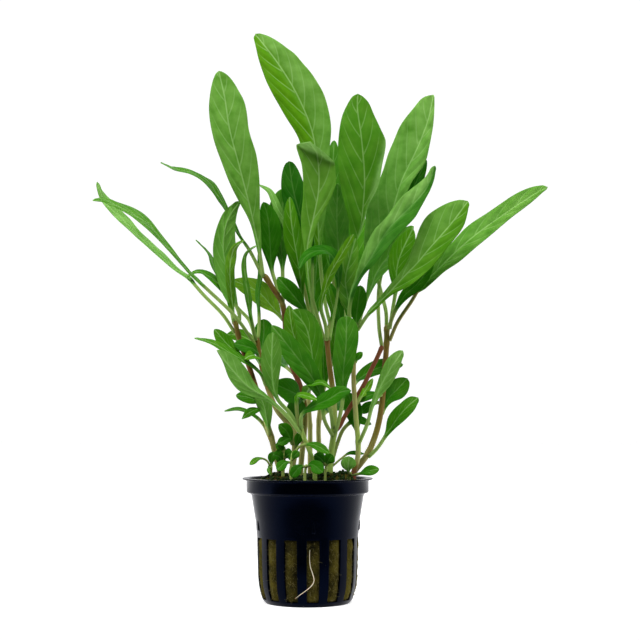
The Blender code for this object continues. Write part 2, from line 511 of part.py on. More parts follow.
# The leaves of the sprouts, one piece with them
SPROUT_LEAVES = {
    "left_far": (
        "sprout_left", 57, [(-17.4, 59.3, -9), (-20.3, 60.1, -10)],
        (-24.5, 57.5, -10), 3.0, (0, -0.8, 0.8), (0, -0.8, 0.8), dict(start=0.45, petiole=0.4),
    ),
    "left_curl": (
        "sprout_left", 56, [(-16.8, 56.4, -11)],
        (-15.6, 53.2, -13), 2.4, (-1, -0.8, 0), (-1, -0.8, 0), dict(petiole=0.4),
    ),
    "left_up": (
        "sprout_left", 57, [(-15.2, 60, -8)],
        (-14.4, 63, -8), 2.6, (0, -1, 0), (0, -1, 0), dict(petiole=0.4),
    ),
    "front_left_down": (
        "sprout_front_left", 59, [(-9.6, 58.2, -19)],
        (-12.9, 55, -20), 4.4, (-0.3, -1, 0.3), (-0.3, -1, 0.3), dict(petiole=0.5),
    ),
    "front_left_long": (
        "sprout_front_left", 62, [(-3, 65.4, -18), (1.6, 66, -20), (6, 64.2, -22)],
        (9, 62, -23), 4.0, (0, -1, 0.8), (0, -1, 0.6), dict(start=0.36, petiole=0.5),
    ),
    "front_left_up": (
        "sprout_front_left", 60, [(-5.2, 61.6, -19)],
        (-3.6, 63, -20), 2.4, (0, -1, 0), (0, -1, 0), dict(petiole=0.5),
    ),
    "dark_left": (
        "sprout_dark", 59, [(-12, 60.8, -12.4)],
        (-14.4, 61.6, -14), 3.8, (0, -1, 0.4), (0, -1, 0.4), dict(petiole=0.5),
    ),
    "dark_right": (
        "sprout_dark", 60.6, [(-8.4, 61.6, -12.6)],
        (-6.4, 62.2, -14.6), 3.6, (0, -1, 0.2), (0, -1, 0.2), dict(petiole=0.5),
    ),
    "dark_up": (
        "sprout_dark", 63, [(-11.6, 65, -12)],
        (-13.6, 65.8, -13), 3.0, (0, -1, 0.4), (0, -1, 0.4), dict(petiole=0.5),
    ),
    "front_center_left": (
        "sprout_front_center", 57.4, [(-3.4, 56.4, -22)],
        (-6.9, 52.2, -23), 4.6, (0, -1, 0.2), (0, -1, 0.2), dict(petiole=0.5, blunt=0.5),
    ),
    "front_center_right": (
        "sprout_front_center", 57.4, [(1.8, 57.6, -22)],
        (6.4, 54.2, -24), 5.6, (0.1, -1, 0.2), (0.1, -1, 0.2), dict(petiole=0.5, blunt=0.5),
    ),
    "round_right": (
        "sprout_round", 57.6, [(8.6, 59, -18)],
        (10.6, 61.6, -19), 4.4, (0, -1, 0.2), (0, -1, 0.2), dict(petiole=0.5, blunt=0.5),
    ),
    "round_left": (
        "sprout_round", 57.6, [(6, 59.6, -16)],
        (2.8, 61.8, -16), 3.4, (0, -1, 0.2), (0, -1, 0.2), dict(petiole=0.5),
    ),
    "right_spoon": (
        "sprout_right", 53.4, [(17.1, 56.4, -17)],
        (17.5, 61, -18), 6.4, (0, -1, 0.1), (0, -1, 0.1), dict(start=0.3, petiole=0.5, blunt=0.5),
    ),
    "right_far": (
        "sprout_right", 53.6, [(22.6, 54.8, -15), (26, 56.6, -16)],
        (30.2, 55.5, -16), 2.6, (0, -1, 0.6), (0, -1, 0.6), dict(start=0.4, petiole=0.4),
    ),
    "right_far_low": (
        "sprout_right", 53.4, [(22.4, 54, -16.5), (24.6, 54.4, -18)],
        (27.6, 53.7, -18), 2.4, (0, -1, 0.6), (0, -1, 0.6), dict(start=0.4, petiole=0.4),
    ),
}

# The finish of each kind of piece: colour, roughness
FINISHES = {
    "pot_plastic": ((0.010, 0.013, 0.020), 0.38),
    "rockwool": ((0.130, 0.110, 0.030), 0.95),
    "stem_skin": ((0.180, 0.150, 0.045), 0.45),
    "leaf_green": ((0.060, 0.220, 0.012), 0.32),
}


def seen(x, z, depth):
    """The true place of what the front view shows at x and z."""
    grow = 1 + depth / EYE_DISTANCE
    return Vector((EYE_SIDE + (x - EYE_SIDE) * grow, depth, EYE_HEIGHT + (z - EYE_HEIGHT) * grow))


def clear_scene():
    for item in list(bpy.data.objects):
        bpy.data.objects.remove(item, do_unlink=True)


def finish(name):
    """The material of a kind of piece, made once."""
    found = bpy.data.materials.get(name)
    if found:
        return found
    colour, roughness = FINISHES[name]
    made = bpy.data.materials.new(name)
    made.use_nodes = True
    shader = made.node_tree.nodes["Principled BSDF"]
    shader.inputs["Base Color"].default_value = (*colour, 1)
    shader.inputs["Roughness"].default_value = roughness
    made.diffuse_color = (*colour, 1)
    return made


def add_piece(name, points, faces, kind, smooth_angle=SMOOTH_ANGLE):
    """An object from points in millimetres and the faces between them."""
    mesh = bpy.data.meshes.new(name)
    mesh.from_pydata([tuple(point * MM) for point in points], [], faces)
    mesh.materials.append(finish(kind))
    mesh.shade_smooth()
    mesh.set_sharp_from_angle(angle=math.radians(smooth_angle))
    piece = bpy.data.objects.new(name, mesh)
    bpy.context.scene.collection.objects.link(piece)
    return piece


def smooth_path(places, steps=PATH_STEPS):
    """Points of a centripetal Catmull-Rom curve through the places, ends included."""
    lane = [2 * places[0] - places[1], *places, 2 * places[-1] - places[-2]]
    path = [places[0].copy()]
    for a, b, c, d in zip(lane, lane[1:], lane[2:], lane[3:]):
        knots = [0.0]
        for start, end in ((a, b), (b, c), (c, d)):
            knots.append(knots[-1] + (end - start).length ** 0.5)
        for step in range(1, steps + 1):
            t = knots[1] + (knots[2] - knots[1]) * step / steps
            ab = a.lerp(b, (t - knots[0]) / (knots[1] - knots[0]))
            bc = b.lerp(c, (t - knots[1]) / (knots[2] - knots[1]))
            cd = c.lerp(d, (t - knots[2]) / (knots[3] - knots[2]))
            abc = ab.lerp(bc, (t - knots[0]) / (knots[2] - knots[0]))
            bcd = bc.lerp(cd, (t - knots[1]) / (knots[3] - knots[1]))
            path.append(abc.lerp(bcd, (t - knots[1]) / (knots[2] - knots[1])))
    return path


def at_share(path, share):
    """The place and the direction at a share of the path's length."""
    lengths = [(end - start).length for start, end in zip(path, path[1:])]
    left = share * sum(lengths)
    for index, length in enumerate(lengths):
        if left <= length or index == len(lengths) - 1:
            place = path[index].lerp(path[index + 1], min(left / length, 1))
            return place, (path[index + 1] - path[index]).normalized()
        left -= length


def loft(rings, first_end=None, last_end=None):
    """Points and faces of a skin over closed rings, ended by a point or by a flat cap."""
    sides = len(rings[0])
    points = [point for ring in rings for point in ring]
    faces = []
    for row in range(len(rings) - 1):
        for side in range(sides):
            after = (side + 1) % sides
            low, high = row * sides, (row + 1) * sides
            faces.append((low + side, low + after, high + after, high + side))
    top = (len(rings) - 1) * sides
    if first_end is None:
        faces.append(tuple(reversed(range(sides))))
    else:
        points.append(first_end)
        tip = len(points) - 1
        faces += [((side + 1) % sides, side, tip) for side in range(sides)]
    if last_end is None:
        faces.append(tuple(range(top, top + sides)))
    else:
        points.append(last_end)
        tip = len(points) - 1
        faces += [(top + side, top + (side + 1) % sides, tip) for side in range(sides)]
    return points, faces


def pot_angles():
    """Angles of the pot's columns: both edges and the middle of each slot."""
    pitch = math.tau / SLOTS
    front = -math.pi / 2 + SLOT_TURN
    angles = []
    for slot in range(SLOTS):
        middle = front + slot * pitch
        angles += [middle - SLOT_ANGLE / 2, middle, middle + SLOT_ANGLE / 2]
    return angles


def inner_wall():
    """Radius and height of the pot's inside, from the floor up to the band."""
    return [
        (FLOOR_RADIUS - FLOOR_FILLET, FLOOR_THICK),
        *[(radius - WALL, height) for radius, height in WALL_ROWS],
        (SHOULDER_RADIUS - WALL, BAND_FOOT - INNER_DROP),
        (BAND_RADIUS - WALL, BAND_FOOT),
    ]


def outer_wall():
    """Radius and height of the pot's outside, from the lip down to the floor's edge."""
    under_lip = POT_HEIGHT - LIP_THICK
    return [
        (LIP_RADIUS, under_lip),
        (BAND_RADIUS + BAND_FLARE, under_lip - LIP_FILLET),
        (BAND_RADIUS, BAND_FOOT),
        (SHOULDER_RADIUS, BAND_FOOT - SHOULDER_DROP),
        *reversed(WALL_ROWS),
        (FLOOR_RADIUS, 0),
    ]


def make_pot():
    """The net pot: a turned wall with slots between the ring at its foot and its shoulder."""
    inside, outside = inner_wall(), outer_wall()
    rim = [(BAND_RADIUS - WALL, POT_HEIGHT), (LIP_RADIUS, POT_HEIGHT)]
    profile = inside + rim + outside
    angles = pot_angles()
    columns = len(angles)
    points = [
        Vector((radius * math.cos(angle), radius * math.sin(angle), height))
        for radius, height in profile
        for angle in angles
    ]
    slot_rows = [row for row, (_, height) in enumerate(profile) if SLOT_FOOT <= height <= SLOT_TOP]
    slot_in = [row for row in slot_rows if row < len(inside)]
    slot_out = [row for row in slot_rows if row >= len(inside)]

    def at(row, column):
        return row * columns + column % columns

    def quad(low, high, column):
        return at(low, column), at(high, column), at(high, column + 1), at(low, column + 1)

    def is_open(column):
        return column % SLOT_COLUMNS < OPEN_COLUMNS

    faces = []
    for row in range(len(profile) - 1):
        cut = {row, row + 1} <= set(slot_in) or {row, row + 1} <= set(slot_out)
        faces += [quad(row, row + 1, column) for column in range(columns) if not (cut and is_open(column))]
    for column in range(columns):
        if is_open(column):
            faces.append(quad(slot_in[-1], slot_out[0], column)[::-1])
            faces.append(quad(slot_in[0], slot_out[-1], column))
    for slot in range(SLOTS):
        for column, way in ((slot * SLOT_COLUMNS, 1), (slot * SLOT_COLUMNS + OPEN_COLUMNS, -1)):
            side = [at(row, column) for row in slot_in + slot_out]
            faces.append(tuple(side[::way]))
    for row, height, way in ((0, FLOOR_THICK, 1), (len(profile) - 1, 0, -1)):
        points.append(Vector((0, 0, height)))
        tip = len(points) - 1
        for column in range(columns):
            faces.append((tip, at(row, column), at(row, column + 1))[::way])
    return add_piece("pot", points, faces, "pot_plastic", POT_SMOOTH_ANGLE)


def make_wool(stands):
    """The rockwool plug, with a low crown and a socket for each stalk."""
    floor = FLOOR_THICK + WOOL_LIFT
    sides = [(radius - WOOL_INSET, height) for radius, height in inner_wall()[1:]]
    sides[0] = (sides[0][0], sides[0][1] + WOOL_LIFT)
    sides[-1] = (sides[-1][0], sides[-1][1] + WOOL_INSET)
    rings = []
    for radius, height in ((WOOL_FOOT_RADIUS, floor), *sides, *WOOL_CROWN):
        rings.append([turn * radius + Vector((0, 0, height)) for turn in circle(WOOL_COLUMNS)])
    points, faces = loft(rings, Vector((0, 0, floor)), Vector((0, 0, WOOL_PEAK)))
    wool = add_piece("rockwool", points, faces, "rockwool", WOOL_SMOOTH_ANGLE)
    sockets = bpy.data.collections.new("wool_sockets")
    bpy.context.scene.collection.children.link(sockets)
    for index, (place, radius) in enumerate(stands):
        rings = []
        for height in (SOCKET_FLOOR, SOCKET_TOP):
            centre = Vector((place.x, place.y, height))
            rings.append([centre + turn * (radius + GAP) * SOCKET_WIDER for turn in circle(STEM_SIDES)])
        cutter = add_piece(f"socket_{index}", *loft(rings), "rockwool")
        hide_cutter(cutter, sockets)
    cut = wool.modifiers.new("sockets", "BOOLEAN")
    cut.operation = "DIFFERENCE"
    cut.operand_type = "COLLECTION"
    cut.collection = sockets
    return wool


def hide_cutter(cutter, collection):
    cutter.hide_render = True
    cutter.display_type = "WIRE"
    bpy.context.scene.collection.objects.unlink(cutter)
    collection.objects.link(cutter)


def circle(sides):
    turns = [math.tau * side / sides for side in range(sides)]
    return [Vector((math.cos(turn), math.sin(turn), 0)) for turn in turns]


def stem_line(places, rooted=True):
    """A stem's smooth midline, from its foot in the rockwool or from another stem's side."""
    line = [seen(*place) for place in places]
    if rooted:
        foot = line[0].copy()
        foot.z = SOCKET_FLOOR + GAP
        line.insert(0, foot)
    return smooth_path(line)


def axis_at(line, height):
    """The stem's place nearest to a height."""
    return min(line, key=lambda place: abs(place.z - height))


def stem_skin(line, radii, nodes, sides):
    """Points and faces of a stem that tapers and swells at its leaf nodes."""
    heights = []
    for node in nodes:
        heights += [node - NODE_REACH, node, node + NODE_REACH]
    marks = {line.index(axis_at(line, height)) for height in heights}
    marks |= set(range(0, len(line), PATH_STEPS)) | {len(line) - 1}
    marks = sorted(marks)
    kept = [mark for mark, after in zip(marks, marks[1:]) if (line[after] - line[mark]).length > LEAST_STEP]
    kept.append(marks[-1])
    rings = []
    for mark in kept:
        share = mark / (len(line) - 1)
        radius = radii[0] + (radii[1] - radii[0]) * share
        near = min((abs(line[mark].z - node) for node in nodes), default=NODE_REACH)
        radius *= 1 + (NODE_SWELL - 1) * max(0, 1 - near / NODE_REACH)
        ahead = (line[min(mark + 1, len(line) - 1)] - line[max(mark - 1, 0)]).normalized()
        side = ahead.cross(Vector((0, 1, 0))).normalized()
        other = ahead.cross(side)
        rings.append([line[mark] + (side * turn.x + other * turn.y) * radius for turn in circle(sides)])
    return loft(rings)


def blade_shape(share, widest, blunt):
    """Width of a blade, from 0 at its foot and tip to 1 where it is widest."""
    if share < widest:
        return math.sin(math.pi / 2 * share / widest) ** FOOT_POWER
    return math.cos(math.pi / 2 * (share - widest) / (1 - widest)) ** blunt


def leaf_skin(start_place, ways, tip, width, face_foot, face_tip, start=STALK_SHARE, fold=FOLD,
              widest=WIDEST, blunt=BLUNT, petiole=PETIOLE, sides=NARROW_SIDES,
              stations=BLADE_STATIONS):
    """Points and faces of one leaf: a round stalk that opens into a folded blade."""
    path = smooth_path([start_place, *[seen(*way) for way in ways], seen(*tip)])
    length = sum((end - begin).length for begin, end in zip(path, path[1:]))
    steps = max(1, round(start * length / STALK_STEP))
    shares = [start * step / steps for step in range(steps + 1)]
    shares += [start + (1 - start) * station for station in stations]
    rings = []
    for share in shares:
        place, ahead = at_share(path, share)
        opened = max(0, (share - start) / (1 - start))
        face = Vector(face_foot).normalized().lerp(Vector(face_tip).normalized(), share)
        up = (face - ahead * face.dot(ahead)).normalized()
        across = up.cross(ahead)
        half = width / 2 * blade_shape(opened, widest, blunt) if opened else 0
        open_share = min(1, half / (OPEN_BLADE * petiole))
        half = max(half, petiole * (1 - PETIOLE_TAPER * opened))
        thick = petiole + (BLADE_THICK - petiole) * open_share
        bend = math.radians(fold) * open_share
        ring = []
        for side in range(sides):
            turn = math.tau * side / sides
            out, rise = half * math.cos(turn), thick * math.sin(turn)
            ring.append(place + across * out * math.cos(bend) + up * (rise + abs(out) * math.sin(bend)))
        rings.append(ring)
    return loft(rings, last_end=path[-1])


def leaf_start(line, radius, height, first_way, gap):
    """Where a stalk leaves its stem: beside the stem, on the side of the leaf's first place."""
    axis = axis_at(line, height)
    out = seen(*first_way) - axis
    out.z = 0
    return axis + out.normalized() * (radius + gap)


def make_leaf(name, line, radius, spec):
    """A large leaf, a piece of its own, a gap away from its stem."""
    _, height, ways, tip, width, face_foot, face_tip, extra = spec
    petiole = extra.get("petiole", PETIOLE)
    place = leaf_start(line, radius * NODE_SWELL, height, ways[0], petiole + GAP)
    sides = BROAD_SIDES if width > BROAD_FROM else NARROW_SIDES
    skin = leaf_skin(place, ways, tip, width, face_foot, face_tip, sides=sides, **extra)
    return add_piece(name, *skin, "leaf_green")


def make_shoot(name, line, radii, nodes, sides, leaves):
    """A stem or sprout with its small leaves joined to it."""
    shoot = add_piece(name, *stem_skin(line, radii, nodes, sides), "stem_skin")
    if leaves:
        growth = bpy.data.collections.new(f"{name}_growth")
        bpy.context.scene.collection.children.link(growth)
        for leaf, spec in leaves.items():
            _, height, ways, tip, width, face_foot, face_tip, extra = spec
            place = leaf_start(line, radii[1] * GROWTH_DEPTH, height, ways[0], 0)
            skin = leaf_skin(place, ways, tip, width, face_foot, face_tip, stations=SMALL_STATIONS, **extra)
            hide_cutter(add_piece(f"growth_{leaf}", *skin, "leaf_green"), growth)
        join = shoot.modifiers.new("growth", "BOOLEAN")
        join.operation = "UNION"
        join.operand_type = "COLLECTION"
        join.collection = growth
    return shoot


def main():
    clear_scene()
    make_pot()
    lines = {}
    stands = []
    for name, (radii, places, nodes) in STEMS.items():
        rooted = places[0][1] < ROOTED_BELOW
        lines[name] = stem_line(places, rooted)
        if rooted:
            stands.append((lines[name][0], radii[0]))
        leaves = {leaf: spec for leaf, spec in SMALL_LEAVES.items() if spec[0] == name}
        make_shoot(name, lines[name], radii, nodes, STEM_SIDES, leaves)
    for name, (radius, places) in SPROUTS.items():
        line = stem_line(places)
        stands.append((line[0], radius))
        leaves = {leaf: spec for leaf, spec in SPROUT_LEAVES.items() if spec[0] == name}
        make_shoot(name, line, (radius, radius), (), SPROUT_SIDES, leaves)
    make_wool(stands)
    for name, spec in LEAVES.items():
        make_leaf(name, lines[spec[0]], STEMS[spec[0]][0][1], spec)


main()
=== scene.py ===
# %% [markdown]
# # A potted hygrophila
#
# This lesson dresses a stem plant in a net pot: long wet leaves with sunken veins, reddish stalks,
# a moulded pot with open slots, and the damp rockwool that fills it. The imported solids are loaded
# first. What is built here stands for them: one piece for each large leaf, and one for each stem
# with its small leaves.

# %% Load the imported solids
import math
import random

import bpy
import numpy as np
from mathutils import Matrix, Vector, noise


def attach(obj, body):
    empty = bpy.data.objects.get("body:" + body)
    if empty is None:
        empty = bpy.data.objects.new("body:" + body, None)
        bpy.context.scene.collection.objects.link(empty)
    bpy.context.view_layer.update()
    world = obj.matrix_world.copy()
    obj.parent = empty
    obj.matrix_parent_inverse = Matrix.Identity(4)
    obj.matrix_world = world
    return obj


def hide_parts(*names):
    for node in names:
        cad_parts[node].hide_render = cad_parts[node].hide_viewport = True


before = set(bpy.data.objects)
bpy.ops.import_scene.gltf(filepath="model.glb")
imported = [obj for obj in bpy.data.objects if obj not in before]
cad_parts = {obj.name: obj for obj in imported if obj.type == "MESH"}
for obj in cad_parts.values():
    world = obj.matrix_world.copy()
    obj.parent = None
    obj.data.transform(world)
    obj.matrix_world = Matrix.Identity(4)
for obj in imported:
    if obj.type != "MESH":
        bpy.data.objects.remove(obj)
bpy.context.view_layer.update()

# %% [markdown]
# Lengths are written in millimetres, because a leaf is easier to imagine at 80 mm than at 0.08 m.
# Leaves and stems are placed as someone sees them from the front: x across and z up, measured at
# the pot's axis, and a depth that is negative towards the eye. A thing that stands nearer looks
# larger, so the function below moves each such place to where it truly is.

# %% Millimetres and the front view
MM = 0.001
EYE_DISTANCE = 640.0
EYE_HEIGHT = 82.0
EYE_SIDE = 5.2


def seen(x, z, depth):
    """The true place, in millimetres, of what the front view shows at x and z."""
    grow = 1 + depth / EYE_DISTANCE
    return Vector((EYE_SIDE + (x - EYE_SIDE) * grow, depth, EYE_HEIGHT + (z - EYE_HEIGHT) * grow))


def front_view(place):
    """What the front view shows a true place at: the opposite of seen."""
    grow = 1 + place.y / EYE_DISTANCE
    return Vector((EYE_SIDE + (place.x - EYE_SIDE) / grow, EYE_HEIGHT + (place.z - EYE_HEIGHT) / grow))


# %% [markdown]
# The camera stands a little right of the pot's middle, low over the table, and looks slightly up.
# A focal length of 85 mm on a 36 mm sensor keeps the perspective of a product picture.

# %% Camera
EYE_TILT = math.radians(3.27)
LENS = 85.05
SENSOR_WIDTH = 36

lens = bpy.data.cameras.new("camera")
lens.lens = LENS
lens.sensor_width = SENSOR_WIDTH
camera = bpy.data.objects.new("camera", lens)
camera.location = (EYE_SIDE * MM, -EYE_DISTANCE * MM, EYE_HEIGHT * MM)
camera.rotation_euler = (math.pi / 2 + EYE_TILT, 0, 0)
bpy.context.scene.collection.objects.link(camera)
bpy.context.scene.camera = camera
print("camera at", tuple(round(c, 3) for c in camera.location))

# %% [markdown]
# Colours are picked as sRGB hex values, the way a colour picker shows them, and shaders want them
# linear. Every material below is wired by one function that adds a node, sets its values, links its
# inputs and gives a colour ramp its stops, so that each line of a material reads as one step.

# %% Colours and shader nodes


def linear(hex_colour):
    """An sRGB hex colour as the linear RGBA that shaders use."""
    parts = [int(hex_colour[i : i + 2], 16) / 255 for i in (1, 3, 5)]
    return (*[c / 12.92 if c <= 0.04045 else ((c + 0.055) / 1.055) ** 2.4 for c in parts], 1)


def add(material, kind, inputs=None, stops=(), **settings):
    """Adds a shader node. Inputs hold values, or (node, output) pairs to link. Stops set a ramp."""
    node = material.node_tree.nodes.new(kind)
    for name, value in settings.items():
        setattr(node, name, value)
    for name, value in (inputs or {}).items():
        if isinstance(value, tuple) and isinstance(value[0], bpy.types.Node):
            material.node_tree.links.new(value[0].outputs[value[1]], node.inputs[name])
        else:
            node.inputs[name].default_value = value
    for position, _ in stops[1:-1]:
        node.color_ramp.elements.new(position)
    for number, (position, colour) in enumerate(stops):
        node.color_ramp.elements[number].position = position
        node.color_ramp.elements[number].color = linear(colour)
    return node


def new_material(name):
    """An empty node material and its output node."""
    material = bpy.data.materials.new(name)
    material.use_nodes = True
    material.node_tree.nodes.clear()
    return material, add(material, "ShaderNodeOutputMaterial")


def show(material, output, shader):
    """Links a finished shader to the material's output."""
    material.node_tree.links.new(shader.outputs[0], output.inputs["Surface"])


# %% [markdown]
# Two soft boxes, one on each side, and a pale room give long soft highlights on the wet pot and
# leave its front dark, which is how black plastic is usually photographed on white. A wide lamp
# above and in front lights the leaves. Each lamp has its place and the point that it shines at, in
# metres, then its size in metres and its power in watts.

# %% Light and floor
FRONT_WALL = 0.05
CEILING = 0.4
LAMPS = {
    "left_box": ((-0.85, 0.05, 0.25), (0, 0, 0.12), 0.8, 5.2),
    "right_box": ((0.85, 0.05, 0.25), (0, 0, 0.12), 0.8, 2.8),
    "front_top": ((0.0, -0.5, 0.9), (0, 0, 0.10), 0.6, 9.4),
    "behind": ((0.0, 0.60, 0.45), (0, 0, 0.12), 0.6, 0.8),
}
for name, (place, target, size, power) in LAMPS.items():
    light = bpy.data.lights.new(name, "AREA")
    light.size = size
    light.energy = power
    lamp = bpy.data.objects.new(name, light)
    lamp.location = place
    lamp.rotation_euler = (Vector(target) - Vector(place)).to_track_quat("-Z", "Y").to_euler()
    bpy.context.scene.collection.objects.link(lamp)

room = bpy.data.worlds.new("pale_room")
room.use_nodes = True
background = room.node_tree.nodes["Background"]
background.inputs["Color"].default_value = (1, 1, 1, 1)
way = add(room, "ShaderNodeTexCoord")
parts = add(room, "ShaderNodeSeparateXYZ", {"Vector": (way, "Generated")})
front = add(room, "ShaderNodeMapRange", {
    "Value": (parts, "Y"), "From Min": -0.65, "From Max": 0.6, "To Min": FRONT_WALL, "To Max": 1.05,
}, interpolation_type="SMOOTHSTEP")
ceiling = add(room, "ShaderNodeMapRange", {
    "Value": (parts, "Z"), "From Min": 0.3, "From Max": 0.75, "To Min": 1.0, "To Max": CEILING,
}, interpolation_type="SMOOTHSTEP")
strength = add(room, "ShaderNodeMath", {
    0: (front, "Result"), 1: (ceiling, "Result"),
}, operation="MULTIPLY")
room.node_tree.links.new(strength.outputs["Value"], background.inputs["Strength"])
bpy.context.scene.world = room
bpy.context.scene.view_settings.view_transform = "Standard"

FLOOR_SIZE = 6.0
FLOOR_FRONT = -0.09
FLOOR_GLOW = 0.66
table_top = bpy.data.meshes.new("table_top")
edge = FLOOR_SIZE / 2
table_top.from_pydata(
    [(-edge, FLOOR_FRONT, 0), (edge, FLOOR_FRONT, 0), (edge, edge, 0), (-edge, edge, 0)],
    [], [(0, 1, 2, 3)],
)
floor = bpy.data.objects.new("floor", table_top)
bpy.context.scene.collection.objects.link(floor)
paper, paper_out = new_material("white_paper")
show(paper, paper_out, add(paper, "ShaderNodeBsdfPrincipled", {
    "Base Color": linear("#f6f6f6"), "Roughness": 0.9, "Emission Color": linear("#ffffff"),
    "Emission Strength": FLOOR_GLOW,
}))
table_top.materials.append(paper)
print("lamps:", len(LAMPS))

# %% [markdown]
# The pot is polypropylene, injection moulded in one shot and coloured blue-black. The mould leaves a
# satin skin with a faint orange peel, so the highlights are broad, soft and a little uneven.

# %% Pot plastic
PLASTIC_IOR = 1.49
PEEL_SIZE = 0.9 * MM
PEEL_DEPTH = 0.1 * MM
FILM_FINENESS = 0.12 / MM

plastic, plastic_out = new_material("moulded_polypropylene")
place = add(plastic, "ShaderNodeTexCoord")
peel = add(plastic, "ShaderNodeTexNoise", {
    "Vector": (place, "Object"), "Scale": 1 / PEEL_SIZE, "Detail": 3.0,
})
film = add(plastic, "ShaderNodeTexNoise", {
    "Vector": (place, "Object"), "Scale": FILM_FINENESS, "Detail": 5.0,
})
tint = add(plastic, "ShaderNodeValToRGB", {"Fac": (film, "Fac")}, stops=[
    (0.3, "#000103"), (0.75, "#010206"),
])
satin = add(plastic, "ShaderNodeMapRange", {"Value": (film, "Fac"), "To Min": 0.18, "To Max": 0.28})
dimple = add(plastic, "ShaderNodeBump", {
    "Height": (peel, "Fac"), "Strength": 0.12, "Distance": PEEL_DEPTH,
})
skin = add(plastic, "ShaderNodeBsdfPrincipled", {
    "Base Color": (tint, "Color"), "Roughness": (satin, "Result"), "Normal": (dimple, "Normal"),
    "IOR": PLASTIC_IOR, "Specular IOR Level": 0.06, "Specular Tint": linear("#6f96ff"),
    "Sheen Weight": 0.04, "Sheen Roughness": 0.3, "Sheen Tint": linear("#4f74e8"),
})
show(plastic, plastic_out, skin)
print("made", plastic.name)

# %% [markdown]
# Rockwool is spun mineral fibre, brown from its binder and olive where it stays damp. It has no
# gloss at all. Its colour is painted paler towards the sides and darker in the middle, as painted
# light from the side lamps. Its threads are finer than a pixel here, so the streaks are drawn at
# half a millimetre, and real loose fibres are added later as meshes.

# %% Rockwool
FIBRE_STREAK = 0.5 * MM
FIBRE_DEPTH = 0.4 * MM
DAMP_FINENESS = 0.16 / MM
MOSS_CLUMP = 2 * MM
SIDE_LIGHT_FROM = 4 * MM
SIDE_LIGHT_FULL = 17 * MM

wool, wool_out = new_material("damp_rockwool")
place = add(wool, "ShaderNodeTexCoord")
matted = add(wool, "ShaderNodeTexNoise", {
    "Vector": (place, "Object"), "Scale": 1 / FIBRE_STREAK, "Detail": 6.0, "Roughness": 0.7,
    "Distortion": 1.2,
})
damp = add(wool, "ShaderNodeTexNoise", {
    "Vector": (place, "Object"), "Scale": DAMP_FINENESS, "Detail": 3.0,
})
# Painted light: the brown is lifted towards the sides, where the side lamps fall, and lowered in the
# middle, which stays in shade.
parts = add(wool, "ShaderNodeSeparateXYZ", {"Vector": (place, "Object")})
sideways = add(wool, "ShaderNodeMath", {0: (parts, "X")}, operation="ABSOLUTE")
painted_side_light = add(wool, "ShaderNodeMapRange", {
    "Value": (sideways, "Value"), "From Min": SIDE_LIGHT_FROM, "From Max": SIDE_LIGHT_FULL,
    "To Min": 0.88, "To Max": 1.4,
})
patchy = add(wool, "ShaderNodeMath", {0: (matted, "Fac"), 1: (damp, "Fac")}, operation="MULTIPLY")
shade = add(wool, "ShaderNodeMath", {0: (patchy, "Value"), 1: (painted_side_light, "Result")}, operation="MULTIPLY")
browns = add(wool, "ShaderNodeValToRGB", {"Fac": (shade, "Value")}, stops=[
    (0.14, "#070601"), (0.42, "#4e4718"),
])
fuzz = add(wool, "ShaderNodeBump", {
    "Height": (matted, "Fac"), "Strength": 0.9, "Distance": FIBRE_DEPTH,
})
show(wool, wool_out, add(wool, "ShaderNodeBsdfPrincipled", {
    "Base Color": (browns, "Color"), "Roughness": 0.95, "Normal": (fuzz, "Normal"),
    "Specular IOR Level": 0.05,
}))

thread, thread_out = new_material("rockwool_thread")
show(thread, thread_out, add(thread, "ShaderNodeBsdfPrincipled", {
    "Base Color": linear("#5c5424"), "Roughness": 0.8,
}))

moss, moss_out = new_material("wet_moss")
place = add(moss, "ShaderNodeTexCoord")
clumps = add(moss, "ShaderNodeTexNoise", {
    "Vector": (place, "Object"), "Scale": 1 / MOSS_CLUMP, "Detail": 3.0,
})
greens = add(moss, "ShaderNodeValToRGB", {"Fac": (clumps, "Fac")}, stops=[
    (0.35, "#081503"), (0.7, "#25400f"),
])
show(moss, moss_out, add(moss, "ShaderNodeBsdfPrincipled", {
    "Base Color": (greens, "Color"), "Roughness": 0.7, "Specular IOR Level": 0.1,
}))

root, root_out = new_material("pale_root")
show(root, root_out, add(root, "ShaderNodeBsdfPrincipled", {
    "Base Color": linear("#d8cdb2"), "Roughness": 0.45, "Subsurface Weight": 0.2,
    "Subsurface Scale": 0.4 * MM,
}))
print("made", wool.name, thread.name, moss.name, root.name)

# %% [markdown]
# A leaf is a thin living skin over watery cells: green above, paler and greyer below, with light
# veins. Each blade stores its own coordinates on its points, so one material can draw the midrib,
# the side veins that sweep towards the tip, and both faces. Tone runs from deep green to the yellow
# green of young ones, and its darkest values are partly painted shade on leaves deep in the plant.
# Pale is a painted sheen: the silvery highlight of a wet blade, mixed into the colour. The veins
# are also pressed into the upper face and stand out of the lower one, which catches the light.

# %% Wet leaf
LEAF_IOR = 1.45
VEIN_HALF = 0.03
RIB_HALF = 0.22
MOTTLE_PATCH = 5 * MM
SOFT_LUMP = 1.5 * MM
RELIEF = 0.2 * MM
SPOT_PLACE = seen(36, 93.7, -16) * MM
SPOT_SIZE = 1.1 * MM

